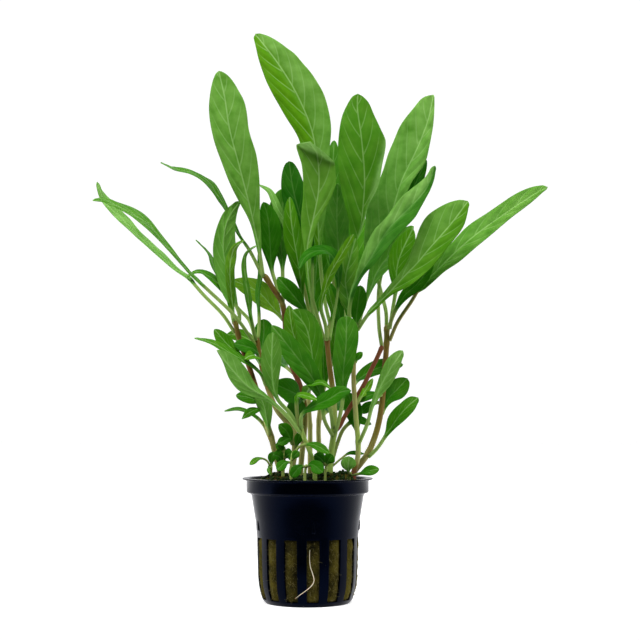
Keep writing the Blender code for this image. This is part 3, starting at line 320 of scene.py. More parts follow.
leaf, leaf_out = new_material("wet_leaf")
stored = {
    name: add(leaf, "ShaderNodeAttribute", attribute_name=name)
    for name in ("tone", "pale", "under", "vein", "across", "rib", "blade", "red")
}
place = add(leaf, "ShaderNodeTexCoord")
mottle = add(leaf, "ShaderNodeTexNoise", {
    "Vector": (place, "Object"), "Scale": 1 / MOTTLE_PATCH, "Detail": 4.0,
})
lumps = add(leaf, "ShaderNodeTexNoise", {
    "Vector": (place, "Object"), "Scale": 1 / SOFT_LUMP, "Detail": 2.0,
})
shift = add(leaf, "ShaderNodeMapRange", {"Value": (mottle, "Fac"), "To Min": -0.16, "To Max": 0.16})
tone = add(leaf, "ShaderNodeMath", {0: (stored["tone"], "Fac"), 1: (shift, "Result")}, operation="ADD")
green = add(leaf, "ShaderNodeValToRGB", {"Fac": (tone, "Value")}, stops=[
    (0.05, "#145700"), (0.3, "#2a7200"), (0.5, "#448406"), (0.7, "#5a950c"), (0.95, "#86b524"),
])

# Painted sheen: pale, broken up by the mottle, mixes a silvery highlight into the green.
sheen = add(leaf, "ShaderNodeMath", {0: (stored["pale"], "Fac"), 1: (mottle, "Fac")}, operation="MULTIPLY")
painted_sheen_colour = add(leaf, "ShaderNodeMix", {
    "Factor": (sheen, "Value"), "A": (green, "Color"), "B": linear("#a0d676"),
}, data_type="RGBA")
lower = add(leaf, "ShaderNodeMix", {
    "Factor": 0.15, "A": (painted_sheen_colour, "Result"), "B": linear("#86ba58"),
}, data_type="RGBA")
faces = add(leaf, "ShaderNodeMix", {
    "Factor": (stored["under"], "Fac"), "A": (painted_sheen_colour, "Result"), "B": (lower, "Result"),
}, data_type="RGBA")

turn = add(leaf, "ShaderNodeMath", {0: (stored["vein"], "Fac")}, operation="FRACT")
middle = add(leaf, "ShaderNodeMath", {0: (turn, "Value"), 1: 0.5}, operation="SUBTRACT")
apart = add(leaf, "ShaderNodeMath", {0: (middle, "Value")}, operation="ABSOLUTE")
line = add(leaf, "ShaderNodeMapRange", {
    "Value": (apart, "Value"), "From Min": VEIN_HALF, "From Max": VEIN_HALF * 2.4,
    "To Min": 1.0, "To Max": 0.0,
}, interpolation_type="SMOOTHSTEP")
reach = add(leaf, "ShaderNodeMapRange", {
    "Value": (stored["across"], "Fac"), "From Min": 0.5, "From Max": 0.95, "To Min": 0.55, "To Max": 0.0,
})
side_veins = add(leaf, "ShaderNodeMath", {0: (line, "Result"), 1: (reach, "Result")}, operation="MULTIPLY")
midrib = add(leaf, "ShaderNodeMapRange", {
    "Value": (stored["rib"], "Fac"), "From Min": RIB_HALF * 0.6, "From Max": RIB_HALF * 1.8,
    "To Min": 1.0, "To Max": 0.0,
}, interpolation_type="SMOOTHSTEP")
veins = add(leaf, "ShaderNodeMath", {0: (side_veins, "Value"), 1: (midrib, "Result")}, operation="MAXIMUM")
lit = add(leaf, "ShaderNodeMapRange", {
    "Value": (tone, "Value"), "From Min": 0.28, "From Max": 0.62, "To Min": 0.1, "To Max": 0.6,
})
drawn = add(leaf, "ShaderNodeMath", {0: (veins, "Value"), 1: (lit, "Result")}, operation="MULTIPLY")
veined = add(leaf, "ShaderNodeMix", {
    "Factor": (drawn, "Value"), "A": (faces, "Result"), "B": linear("#aad682"),
}, data_type="RGBA")

stalk = add(leaf, "ShaderNodeMix", {
    "Factor": (stored["red"], "Fac"), "A": linear("#8bb05a"), "B": linear("#8a5a44"),
}, data_type="RGBA")
whole = add(leaf, "ShaderNodeMix", {
    "Factor": (stored["blade"], "Fac"), "A": (stalk, "Result"), "B": (veined, "Result"),
}, data_type="RGBA")
near_spot = add(leaf, "ShaderNodeVectorMath", {
    0: (place, "Object"), 1: SPOT_PLACE,
}, operation="DISTANCE")
browned = add(leaf, "ShaderNodeMapRange", {
    "Value": (near_spot, "Value"), "From Min": SPOT_SIZE * 0.5, "From Max": SPOT_SIZE,
    "To Min": 0.85, "To Max": 0.0,
}, interpolation_type="SMOOTHSTEP")
spotted = add(leaf, "ShaderNodeMix", {
    "Factor": (browned, "Result"), "A": (whole, "Result"), "B": linear("#4a2f14"),
}, data_type="RGBA")

satin = add(leaf, "ShaderNodeMapRange", {"Value": (mottle, "Fac"), "To Min": 0.34, "To Max": 0.46})
soft = add(leaf, "ShaderNodeBump", {"Height": (lumps, "Fac"), "Strength": 0.15, "Distance": RELIEF})
lines_in = add(leaf, "ShaderNodeMath", {0: (veins, "Value"), 1: -1.0}, operation="MULTIPLY")
pressed = add(leaf, "ShaderNodeMath", {
    0: (lines_in, "Value"), 1: (stored["blade"], "Fac"),
}, operation="MULTIPLY")
relief = add(leaf, "ShaderNodeBump", {
    "Height": (pressed, "Value"), "Strength": 0.25, "Distance": RELIEF, "Normal": (soft, "Normal"),
})
show(leaf, leaf_out, add(leaf, "ShaderNodeBsdfPrincipled", {
    "Base Color": (spotted, "Result"), "Roughness": (satin, "Result"), "Normal": (relief, "Normal"),
    "IOR": LEAF_IOR, "Specular IOR Level": 0.03,
}))
print("made", leaf.name, "with", len(leaf.node_tree.nodes), "nodes")

# %% [markdown]
# Stems are tougher than leaves: smooth, a little waxy, pale green low down and reddish brown where
# they have grown in strong light. Fine streaks run along them, each eighteen times as long as wide.

# %% Stem skin
STREAK = 0.35 * MM
STREAK_DEPTH = 0.15 * MM
STREAK_LENGTH = 18

bark, bark_out = new_material("stem_skin")
red = add(bark, "ShaderNodeAttribute", attribute_name="red")
along = add(bark, "ShaderNodeAttribute", attribute_name="along")
around = add(bark, "ShaderNodeAttribute", attribute_name="around")
place = add(bark, "ShaderNodeCombineXYZ", {"X": (around, "Fac"), "Y": (along, "Fac")})
streaks = add(bark, "ShaderNodeTexNoise", {"Vector": (place, "Vector"), "Scale": 1.0, "Detail": 4.0})
drift = add(bark, "ShaderNodeMapRange", {"Value": (streaks, "Fac"), "To Min": -0.22, "To Max": 0.22})
warm = add(bark, "ShaderNodeMath", {0: (red, "Fac"), 1: (drift, "Result")}, operation="ADD")
reddening = add(bark, "ShaderNodeValToRGB", {"Fac": (warm, "Value")}, stops=[
    (0.0, "#9cbc5a"), (0.25, "#a3a364"), (0.5, "#77692f"), (0.75, "#6e4429"), (1.0, "#84463a"),
])
ridges = add(bark, "ShaderNodeBump", {
    "Height": (streaks, "Fac"), "Strength": 0.3, "Distance": STREAK_DEPTH,
})
show(bark, bark_out, add(bark, "ShaderNodeBsdfPrincipled", {
    "Base Color": (reddening, "Color"), "Roughness": 0.4, "Normal": (ridges, "Normal"),
    "IOR": LEAF_IOR, "Specular IOR Level": 0.06,
}))
print("made", bark.name)

# %% [markdown]
# Everything that grows here is a skin stretched over rings: a stem is round rings on a curve, and a
# leaf is flat rings. The helpers below make smooth curves through a few chosen places, turn rings
# into faces, and gather several skins into one object. Each skin carries named values on its points
# for the materials to read.

# %% Curves and skins
SEED = 7
LOOK_AHEAD = 1.2
random.seed(SEED)


def smooth_path(places, steps=10):
    """Points of a centripetal Catmull-Rom curve through the places, ends included."""
    lane = [2 * places[0] - places[1], *places, 2 * places[-1] - places[-2]]
    path = [places[0].copy()]
    for a, b, c, d in zip(lane, lane[1:], lane[2:], lane[3:]):
        knots = [0.0]
        for start, end in ((a, b), (b, c), (c, d)):
            knots.append(knots[-1] + (end - start).length ** 0.5)
        for step in range(1, steps + 1):
            t = knots[1] + (knots[2] - knots[1]) * step / steps
            ab = a.lerp(b, (t - knots[0]) / (knots[1] - knots[0]))
            bc = b.lerp(c, (t - knots[1]) / (knots[2] - knots[1]))
            cd = c.lerp(d, (t - knots[2]) / (knots[3] - knots[2]))
            abc = ab.lerp(bc, (t - knots[0]) / (knots[2] - knots[0]))
            bcd = bc.lerp(cd, (t - knots[1]) / (knots[3] - knots[1]))
            path.append(abc.lerp(bcd, (t - knots[1]) / (knots[2] - knots[1])))
    return path


def path_length(path):
    """Length of a path, in millimetres."""
    return sum((end - start).length for start, end in zip(path, path[1:]))


def along_path(path, shares):
    """Places and directions at shares of the path's length, as arrays."""
    points = np.array(path)
    steps = np.linalg.norm(np.diff(points, axis=0), axis=1)
    travelled = np.concatenate([[0], np.cumsum(steps)])

    def place(share):
        far = np.clip(share, 0, 1) * travelled[-1]
        return np.stack([np.interp(far, travelled, points[:, axis]) for axis in range(3)], axis=1)

    shares = np.asarray(shares, float)
    reach = LOOK_AHEAD / travelled[-1]
    ahead = place(shares + reach) - place(shares - reach)
    return place(shares), ahead / np.linalg.norm(ahead, axis=1, keepdims=True)


def round_rings(places, ahead, radius, sides):
    """Rings of points (rows, sides, 3) around a line of places, and the angle of each side."""
    side = np.cross(ahead, (0, 1, 0))
    side /= np.linalg.norm(side, axis=1, keepdims=True)
    other = np.cross(ahead, side)
    turns = np.linspace(0, math.tau, sides, endpoint=False)
    cosines, sines = np.cos(turns)[None, :, None], np.sin(turns)[None, :, None]
    lean = cosines * side[:, None, :] + sines * other[:, None, :]
    return places[:, None, :] + lean * radius[:, None, None], turns


def ring_skin(rings, values, finish=0):
    """A closed skin over rings of points (rows, sides, 3), with values (rows, sides) by name."""
    rows, sides, _ = rings.shape
    points = rings.reshape(-1, 3)
    faces = []
    for row in range(rows - 1):
        low, high = row * sides, (row + 1) * sides
        for s in range(sides):
            after = (s + 1) % sides
            faces.append((low + s, low + after, high + after, high + s))
    ends = np.stack([rings[0].mean(axis=0), rings[-1].mean(axis=0)])
    first, last = len(points), len(points) + 1
    top = (rows - 1) * sides
    faces += [((s + 1) % sides, s, first) for s in range(sides)]
    faces += [(top + s, top + (s + 1) % sides, last) for s in range(sides)]
    carried = {}
    for name, value in values.items():
        grid = np.broadcast_to(value, (rows, sides))
        carried[name] = np.concatenate([grid.reshape(-1), [grid[0].mean(), grid[-1].mean()]])
    return {"points": np.concatenate([points, ends]), "faces": faces, "values": carried, "finish": finish}


def grown(name, skins, finishes, stands_for=()):
    """One object from skins in millimetres. It rides on the plant and replaces its solids."""
    names = sorted({value for skin in skins for value in skin["values"]})
    points, faces, materials = [], [], []
    stores = {value: [] for value in names}
    for skin in skins:
        first = sum(len(part) for part in points)
        points.append(skin["points"])
        faces += [tuple(first + corner for corner in face) for face in skin["faces"]]
        materials += [skin["finish"]] * len(skin["faces"])
        for value in names:
            stores[value].append(skin["values"].get(value, np.zeros(len(skin["points"]))))
    mesh = bpy.data.meshes.new(name)
    mesh.from_pydata((np.concatenate(points) * MM).tolist(), [], faces)
    for finish in finishes:
        mesh.materials.append(finish)
    mesh.polygons.foreach_set("material_index", materials)
    for value in names:
        store = mesh.attributes.new(value, "FLOAT", "POINT")
        store.data.foreach_set("value", np.concatenate(stores[value]).astype(np.float32))
    mesh.shade_smooth()
    piece = bpy.data.objects.new(name, mesh)
    bpy.context.scene.collection.objects.link(piece)
    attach(piece, "root")
    if stands_for:
        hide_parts(*stands_for)
    return piece


print("helpers ready, seed", SEED)

# %% [markdown]
# The pot is a turned wall with fourteen tall slots that end just above its bottom. Each slot and
# each rib gets the same few columns of points, the slot's points are left open between the outer
# and inner skins, and side walls close them. The profiles below hold a radius and a height for each
# turn of the wall, in millimetres.

# %% Pot wall
SLOTS = 14
SLOT_TURN = math.radians(6.8)
SLOT_ANGLE = math.radians(15.0)
SLOT_TOP = 27.4
SLOT_FOOT = 2.0
SLOT_COLUMNS = 6
RIB_COLUMNS = 4
FIRST_SLOT = -math.pi / 2 + SLOT_TURN
PITCH = math.tau / SLOTS

INSIDE = [
    (15.8, 1.2), (17.4, 1.3), (18.1, SLOT_FOOT), (18.5, 3.2), (19, 5), (19.5, 7.4), (19.9, 11),
    (20.1, 18), (20.3, SLOT_TOP), (20.9, 34), (21.7, 39), (22.9, 44.6), (24.7, 46), (24.7, 49),
]
RIM = [
    (24.7, 51.4), (25.0, 51.9), (25.6, 52), (27.1, 52), (27.4, 51.85), (27.5, 51.6), (27.3, 51.35),
]
OUTSIDE = [
    (25.9, 51.2), (25.7, 50.6), (25.7, 46.3), (25.4, 45.9), (24.0, 45.5), (23.6, 44.5),
    (22.8, 39.5), (21.9, 34), (21.5, 29), (21.3, SLOT_TOP), (21.1, 18), (20.9, 11), (20.5, 7.4),
    (20, 5), (19.4, 3.2), (19.1, SLOT_FOOT), (18.5, 0.9), (17.6, 0), (15.8, 0),
]


def slot_angles():
    """Angles of all columns, and whether the strip after each one is open."""
    angles, opened = [], []
    for number in range(SLOTS):
        left = FIRST_SLOT + number * PITCH - SLOT_ANGLE / 2
        angles += [left + SLOT_ANGLE * column / SLOT_COLUMNS for column in range(SLOT_COLUMNS)]
        rib = PITCH - SLOT_ANGLE
        angles += [left + SLOT_ANGLE + rib * column / RIB_COLUMNS for column in range(RIB_COLUMNS)]
        opened += [True] * SLOT_COLUMNS + [False] * RIB_COLUMNS
    return angles, opened


def turned(radius, height, angle):
    """A place at a radius, a height and an angle around the pot's axis."""
    return (radius * math.cos(angle), radius * math.sin(angle), height)


def pot_skin():
    """The slotted wall: all strips between the columns, without those that a slot leaves open."""
    profile = INSIDE + RIM + OUTSIDE
    angles, opened = slot_angles()
    columns = len(angles)
    points = [turned(radius, height, angle) for radius, height in profile for angle in angles]
    slotted = [SLOT_FOOT <= height <= SLOT_TOP for _, height in profile]
    inner = [row for row, within in enumerate(slotted) if within and row < len(INSIDE)]
    outer = [row for row, within in enumerate(slotted) if within and row >= len(INSIDE)]
    faces = []
    for row in range(len(profile) - 1):
        cut = {row, row + 1} <= set(inner) or {row, row + 1} <= set(outer)
        for column in range(columns):
            if not (cut and opened[column]):
                a, b = row * columns + column, row * columns + (column + 1) % columns
                faces.append((a, a + columns, b + columns, b))
    for column in range(columns):
        after = (column + 1) % columns
        if opened[column]:
            for inside, outside, way in ((inner[-1], outer[0], -1), (inner[0], outer[-1], 1)):
                strip = [inside * columns + column, outside * columns + column]
                strip += [outside * columns + after, inside * columns + after]
                faces.append(tuple(strip[::way]))
        if opened[column] != opened[column - 1]:
            side = list(zip(inner, reversed(outer)))
            way = 1 if opened[column] else -1
            for (low_in, low_out), (high_in, high_out) in zip(side, side[1:]):
                strip = [low_in * columns + column, high_in * columns + column]
                strip += [high_out * columns + column, low_out * columns + column]
                faces.append(tuple(strip[::way]))
    for row, height, way in ((0, INSIDE[0][1], 1), (len(profile) - 1, 0, -1)):
        points.append((0, 0, height))
        for column in range(columns):
            fan = (len(points) - 1, row * columns + column, row * columns + (column + 1) % columns)
            faces.append(fan[::way])
    return {"points": np.array(points), "faces": faces, "values": {}, "finish": 0}


def wall_radius(profile, height):
    """Radius of the wall's inner or outer face at a height."""
    rows = sorted((tall, radius) for radius, tall in profile)
    return float(np.interp(height, *zip(*rows)))


print("columns around the pot:", len(slot_angles()[0]))

# %% [markdown]
# Four little lugs above the slots keep stacked pots apart. Each is a wedge of five rings that sinks
# into the wall. A small bevel then softens every moulded edge, as a mould's rounded corners do.

# %% Net pot
LUG_SLOTS = (0, 3, 7, 11)
LUG_SUNK = 0.3
LUG_CROWN = 0.7
LUG_ROWS = [
    (30.2, 0.95, 0.05), (30.6, 0.95, 0.4), (32.4, 0.65, 0.35), (34.2, 0.3, 0.2), (34.6, 0.2, 0.05),
]
EDGE_ROUND = 0.18
SHARP_FROM = math.radians(35)
ROUNDED_FROM = math.radians(40)


def lug_skin(number):
    """A small wedge on the wall. Its rows hold a height, half the width there and how proud it is."""
    middle = FIRST_SLOT + number * PITCH
    rings = []
    for height, half, proud in LUG_ROWS:
        wall = wall_radius(OUTSIDE, height)
        foot, crown = half / wall, half / wall * LUG_CROWN
        corners = ((-LUG_SUNK, -foot), (-LUG_SUNK, foot), (proud, crown), (proud, -crown))
        rings.append([turned(wall + out, height, middle + aside) for out, aside in corners])
    return ring_skin(np.array(rings), {})


skins = [pot_skin(), *[lug_skin(number) for number in LUG_SLOTS]]
pot = grown("net_pot", skins, [plastic], stands_for=["pot"])
pot.data.set_sharp_from_angle(angle=SHARP_FROM)
soften = pot.modifiers.new("moulded_edges", "BEVEL")
soften.width = EDGE_ROUND * MM
soften.segments = 2
soften.limit_method = "ANGLE"
soften.angle_limit = ROUNDED_FROM
soften.harden_normals = False
print("pot faces:", len(pot.data.polygons))

# %% [markdown]
# The rockwool plug fills the pot and swells a little into each slot. Its top is a low mound with
# dark moss on it. The skin is pushed in and out by noise, and loose threads stand out of it where
# it shows, because a smooth skin would look like clay. Each mound has its place, a width and a
# height. Each layer of lumps has a height, a fineness and the slice of the noise that it reads.

# %% Rockwool surface
WOOL_EDGE = 49.8
WOOL_CROWN = 1.5
CROWN_REACH = 24
MOUNDS = [
    (6, -6, 5.5, 3.7), (16.5, -5, 4.2, 3.6), (-12, -5, 8, 3.6), (11, -10, 6, 2.4), (-1, 8, 8, 2.0),
    (-4, -15, 5, 1.6), (12, 6, 5, 1.5),
]
TOP_LUMPS = [(0.5, 0.45, 3), (0.25, 1.6, 9)]
WALL_GAP = 0.25
PROUD = 0.1
SWELL_TOP = 1.2
SWELL_FOOT = 0.8
LUMPS = (9, 0.35)
TUFTS = (26, 1.1)
LUMP_RISE = 0.3
TUFT_RISE = 0.25
FILL = 0.92


def mound(x, y):
    """Height of the rockwool's top over a place in the pot."""
    height = WOOL_EDGE + WOOL_CROWN * (1 - min(1, math.hypot(x, y) / CROWN_REACH))
    for at_x, at_y, wide, tall in MOUNDS:
        height += tall * math.exp(-((x - at_x) ** 2 + (y - at_y) ** 2) / wide**2)
    for rise, fineness, layer in TOP_LUMPS:
        height += rise * noise.noise(Vector((x, y, layer)) * fineness)
    return height


def slot_depth(angle):
    """How deep inside a slot an angle lies: 0 on a rib, 1 in the slot's middle."""
    off = (angle - FIRST_SLOT + PITCH / 2) % PITCH - PITCH / 2
    return max(0.0, 1 - (abs(off) / (SLOT_ANGLE / 2)) ** 2)


def side_noise(angle, height, around, up):
    """Noise on the plug's side, with its fineness around the plug and up it."""
    return noise.noise(Vector((math.cos(angle) * around, math.sin(angle) * around, height * up)))


def wool_side(angle, height):
    """Radius of the plug: inside the wall at a rib, and level with its outer face in a slot."""
    inner, outer = wall_radius(INSIDE, height), wall_radius(OUTSIDE, height)
    top, foot = max(0, SLOT_TOP - height) / SWELL_TOP, max(0, height - SLOT_FOOT) / SWELL_FOOT
    swell = slot_depth(angle) * min(1, top) * min(1, foot)
    filled_out = FILL + LUMP_RISE * side_noise(angle, height, *LUMPS)
    tuft = slot_depth(angle) * TUFT_RISE * side_noise(angle, height, *TUFTS)
    return inner - WALL_GAP + swell * (outer - inner + WALL_GAP + PROUD) * filled_out + tuft


print("height in the middle of the top:", round(mound(0, 0), 1), "mm")

# %% [markdown]
# The plug itself is rings up its side and smaller rings over its top, closed in the middle. It has
# more columns than the pot, because each slot has to show a few lumps across.

# %% Rockwool plug
WOOL_ROWS = 56
WOOL_COLUMNS = 210
WOOL_FOOT = 1.6
WOOL_SHOULDER = 48.6
WOOL_RADIUS = 24.4
TOP_RINGS = (0.985, 0.95, 0.9, 0.84, 0.77, 0.7, 0.62, 0.54, 0.46, 0.38, 0.3, 0.22, 0.14, 0.07)

angles = [math.tau * column / WOOL_COLUMNS for column in range(WOOL_COLUMNS)]
rings = []
for height in np.linspace(WOOL_FOOT, WOOL_SHOULDER, WOOL_ROWS):
    rings.append([turned(wool_side(angle, height), height, angle) for angle in angles])
for share in TOP_RINGS:
    spots = [turned(WOOL_RADIUS * share, 0, angle) for angle in angles]
    rings.append([(x, y, mound(x, y)) for x, y, _ in spots])
wool_skin = ring_skin(np.array(rings), {})
plug = grown("rockwool_plug", [wool_skin], [wool], stands_for=["rockwool"])
print("rockwool faces:", len(plug.data.polygons))

# %% [markdown]
# Each loose thread is a thin tube of three sides that starts just under the surface, leans some way
# and bends as it goes. Chance picks the places from the seed above, so every run gives the same.

# %% Loose threads
THREADS_IN_SLOTS = 1500
THREADS_ON_TOP = 500
THREAD_SIDES = 3
THREAD_STEPS = 4
THREAD_BEND = 0.6
THREAD_TAPER = 0.6
THREAD_SUNK = 0.1
THREAD_REACH = 23.5
SLOT_MARGIN = 0.6
SLOT_SHARE = 0.47


def thread_skin(start, lean, length, thick):
    """A short curved thread from a place, along a leaning direction."""
    bend = Vector([random.uniform(-1, 1) for _ in range(3)]) * THREAD_BEND
    across = lean.orthogonal().normalized() * thick
    other = lean.cross(across).normalized() * thick
    turns = [math.tau * side / THREAD_SIDES for side in range(THREAD_SIDES)]
    ways = [across * math.cos(turn) + other * math.sin(turn) for turn in turns]
    rings = []
    for share in np.linspace(0, 1, THREAD_STEPS + 1).tolist():
        middle = start + lean * length * share + bend * length * share * share
        rings.append([middle + way * (1 - THREAD_TAPER * share) for way in ways])
    return ring_skin(np.array(rings), {})


def slot_thread():
    """A thread that stands out of the rockwool in one of the slots."""
    middle = FIRST_SLOT + random.randrange(SLOTS) * PITCH
    angle = middle + random.uniform(-SLOT_SHARE, SLOT_SHARE) * SLOT_ANGLE
    height = random.uniform(SLOT_FOOT + SLOT_MARGIN, SLOT_TOP - SLOT_MARGIN)
    start = Vector(turned(wool_side(angle, height) - THREAD_SUNK, height, angle))
    outward = Vector((math.cos(angle), math.sin(angle), 0))
    sideways = Vector((-math.sin(angle), math.cos(angle), 0))
    lean = outward * 0.25 + sideways * random.uniform(-0.7, 0.7) + Vector((0, 0, random.uniform(-1, 1)))
    return thread_skin(start, lean.normalized(), random.uniform(0.8, 2.0), random.uniform(0.035, 0.07))


def somewhere(reach):
    """A random place on the top of the rockwool, out to a radius."""
    angle, far = random.uniform(0, math.tau), reach * math.sqrt(random.random())
    return far * math.cos(angle), far * math.sin(angle)


def top_thread():
    """A thread that stands on the top of the rockwool."""
    x, y = somewhere(THREAD_REACH)
    lean = Vector((random.uniform(-1, 1), random.uniform(-1, 1), random.uniform(0.1, 0.7))).normalized()
    start = Vector((x, y, mound(x, y) - THREAD_SUNK))
    return thread_skin(start, lean, random.uniform(0.9, 2.4), random.uniform(0.04, 0.08))


threads = [slot_thread() for _ in range(THREADS_IN_SLOTS)] + [top_thread() for _ in range(THREADS_ON_TOP)]
loose = grown("rockwool_threads", threads, [thread])
print("threads:", len(threads), "faces:", len(loose.data.polygons))

# %% [markdown]
# Moss grows in patches on the wet top. Single grains show better than a rough surface would, so each
# one is a small uneven ball, and noise decides where many of them lie close together.

# %% Moss grains
MOSS_GRAINS = 1500
MOSS_REACH = 23.8
MOSS_FINENESS = 0.09
MOSS_LAYER = 5
MOSS_PLENTY = 0.6
GRAIN_ROWS = (-0.8, -0.3, 0.3, 0.8)
GRAIN_SIDES = 6
GRAIN_LIFT = 0.3


def grain_skin(centre, size):
    """A rough grain of moss: a small ball of rings."""
    rings = []
    for height in GRAIN_ROWS:
        around = math.sqrt(1 - height * height)
        turns = [math.tau * side / GRAIN_SIDES for side in range(GRAIN_SIDES)]
        ways = [Vector(turned(around, height, turn)) for turn in turns]
        rings.append([centre + way * size * random.uniform(0.75, 1.2) for way in ways])
    return ring_skin(np.array(rings), {})


grains = []
while len(grains) < MOSS_GRAINS:
    x, y = somewhere(MOSS_REACH)
    patch = noise.noise(Vector((x * MOSS_FINENESS, y * MOSS_FINENESS, MOSS_LAYER))) + MOSS_PLENTY
    if patch > random.uniform(-0.1, 0.5):
        size = random.uniform(0.3, 0.75)
        grains.append(grain_skin(Vector((x, y, mound(x, y) + size * GRAIN_LIFT)), size))
carpet = grown("moss_grains", grains, [moss])
print("moss grains:", len(grains), "faces:", len(carpet.data.polygons))

# %% [markdown]
# A stem is a bent tube that tapers and swells where leaves join it. Its lines start in the rockwool.
# Each row of the table gives the radius at both ends, the heights of its leaf joints, and places as
# the front view shows them. Redness is given at a few heights and blends between them.

# %% Stems
STEM_SIDES = 16
STEM_STEP = 1.1
STEM_END = 0.6
JOINT_SWELL = 1.2
JOINT_REACH = 2.2
JOINT_ROUND = 1.5
WOOL_LINE = 47.3
NEAR_WOOL = 10

STEMS = {
    "stem_left": dict(
        foot_radius=1.35, top_radius=1, nodes=(69.5, 112.5, 117),
        places=[(-11.5, 54, -4), (-13.1, 60, -4), (-14.6, 66, -4.5), (-16.3, 72, -5), (-20.1, 84, -4),
        (-24.5, 98, -1), (-28.6, 109, 0), (-31, 119, 0)],
    ),
    "stem_left_behind": dict(
        foot_radius=1.25, top_radius=1.05, nodes=(71.5, 109),
        places=[(-6.8, 54, -9), (-5.8, 60, -9), (-5.5, 66, -9), (-5.9, 71.5, -8), (-9, 75.5, -5),
        (-13, 80.5, -1), (-17, 90, 3), (-20, 101, 4), (-21.6, 111, 4)],
    ),
    "stem_red_brown": dict(
        foot_radius=1.2, top_radius=1.1, nodes=(83, 124.5, 136),
        places=[(-3, 54, 1), (-2.4, 62, 1), (-1.4, 72, 1), (-1.4, 82, 2), (-3.3, 91, 4), (-6.3, 98, 5),
        (-8.2, 106, 5), (-9.3, 113, 5), (-9.8, 120, 4), (-11, 126, 3), (-14.8, 132, 2), (-18.6, 138, 1)],
    ),
    "stem_short_front": dict(
        foot_radius=0.95, top_radius=0.9, nodes=(72.5,),
        places=[(3, 54, -14), (2, 60, -14), (0.2, 64.5, -14.5), (-1.6, 69, -15), (-3.3, 73.8, -15)],
    ),
    "stem_center": dict(
        foot_radius=1.4, top_radius=1.05, nodes=(71, 109.5),
        places=[(9.3, 54, -8), (9.6, 60, -8), (10.4, 66, -8), (11.1, 71, -8), (11.2, 80, -8),
        (10.4, 90, -7), (9, 101, -6), (8.1, 111, -5)],
    ),
    "stem_red_side_shoot": dict(
        foot_radius=0.9, top_radius=0.95, nodes=(107,),
        places=[(11.2, 71.2, -7.4), (13.4, 73.4, -6), (15, 76.6, -4.4), (17.5, 81, -2), (21.3, 87, -1),
        (24.2, 92, 0), (26.8, 97.4, 1), (29.4, 102.6, 1), (31.6, 107.6, 1.5)],
    ),
    "stem_pale_right": dict(
        foot_radius=1.15, top_radius=0.9, nodes=(67, 114),
        places=[(19.4, 54, -6.5), (20.6, 58, -6.5), (21.2, 61, -6.5), (21.3, 67, -6.5), (20.5, 76, -6.5),
        (19.9, 85, -6.5), (19.4, 93, -5), (19.7, 104, -2), (20.5, 115.5, 0)],
    ),
    "stem_olive_right": dict(
        foot_radius=1.35, top_radius=1.15, nodes=(62.5, 109, 115),
        places=[(19.4, 54, 3), (22.2, 57.8, 3), (25.4, 62.2, 3), (28.6, 70, 4), (30.2, 76, 5),
        (31.2, 82, 6), (32, 90, 6.5), (32.6, 98, 6.5), (33.4, 108, 6), (33.5, 116.5, 6)],
    ),
    "stem_behind_left": dict(
        foot_radius=1.1, top_radius=0.9, nodes=(74, 97, 119.5),
        places=[(1, 54, 12), (1, 63, 12), (1, 72, 12), (0.4, 84, 12), (0.6, 98, 12), (1.6, 110, 11),
        (2.2, 121, 10)],
    ),
    "stem_behind_right": dict(
        foot_radius=1.1, top_radius=0.9, nodes=(76, 97, 110.5),
        places=[(5, 54, 14), (4.8, 64, 14), (4.6, 74, 14), (6, 86, 14), (9.4, 99, 13), (13.4, 112, 12)],
    ),
}

REDNESS = {
    "stem_left": [(54, 0.25), (70, 0.4), (75, 0.2), (97, 0.75), (119, 0.5)],
    "stem_left_behind": [(54, 0.2), (111, 0.6)],
    "stem_red_brown": [(54, 0.2), (80, 0.45), (93, 0.8), (121, 0.8), (126, 0.4), (130, 0.65), (138, 0.5)],
    "stem_short_front": [(54, 0.0)],
    "stem_center": [(71, 0.0), (84, 0.2), (93, 0.55), (110, 0.65)],
    "stem_red_side_shoot": [(74, 0.8)],
    "stem_pale_right": [(54, 0.9), (59, 0.3), (67, 0.05), (80, 0.2), (95, 0.4), (115, 0.3)],
    "stem_olive_right": [(54, 0.45), (60, 0.35), (66, 0.45), (80, 0.55), (99, 0.65), (116, 0.4)],
    "stem_behind_left": [(54, 0.25)],
    "stem_behind_right": [(54, 0.25)],
}


def stem_line(places):
    """A stem's midline. A stem that starts low starts inside the rockwool."""
    line = [seen(*place) for place in places]
    if line[0].z < WOOL_LINE + NEAR_WOOL:
        line.insert(0, Vector((line[0].x, line[0].y, WOOL_LINE)))
    return smooth_path(line)


def stem_skin(line, radii, joints, redness):
    """The skin of one stem, with its streak and redness values."""
    length = path_length(line)
    shares = np.linspace(0, 1, max(4, round(length / STEM_STEP)))
    places, ahead = along_path(line, shares)
    radius = radii[0] + (radii[1] - radii[0]) * shares
    for joint in joints:
        near = np.clip(1 - np.abs(places[:, 2] - joint) / JOINT_REACH, 0, 1)
        radius = radius * (1 + (JOINT_SWELL - 1) * near**JOINT_ROUND)
    radius[-1] *= STEM_END
    rings, turns = round_rings(places, ahead, radius, STEM_SIDES)
    values = {
        "red": np.interp(places[:, 2], *zip(*redness))[:, None],
        "along": (shares * length * MM / (STREAK * STREAK_LENGTH))[:, None],
        "around": np.abs(turns - math.pi)[None, :] * radius[:, None] * MM / STREAK,
    }
    return ring_skin(rings, values)


print("stems:", len(STEMS))
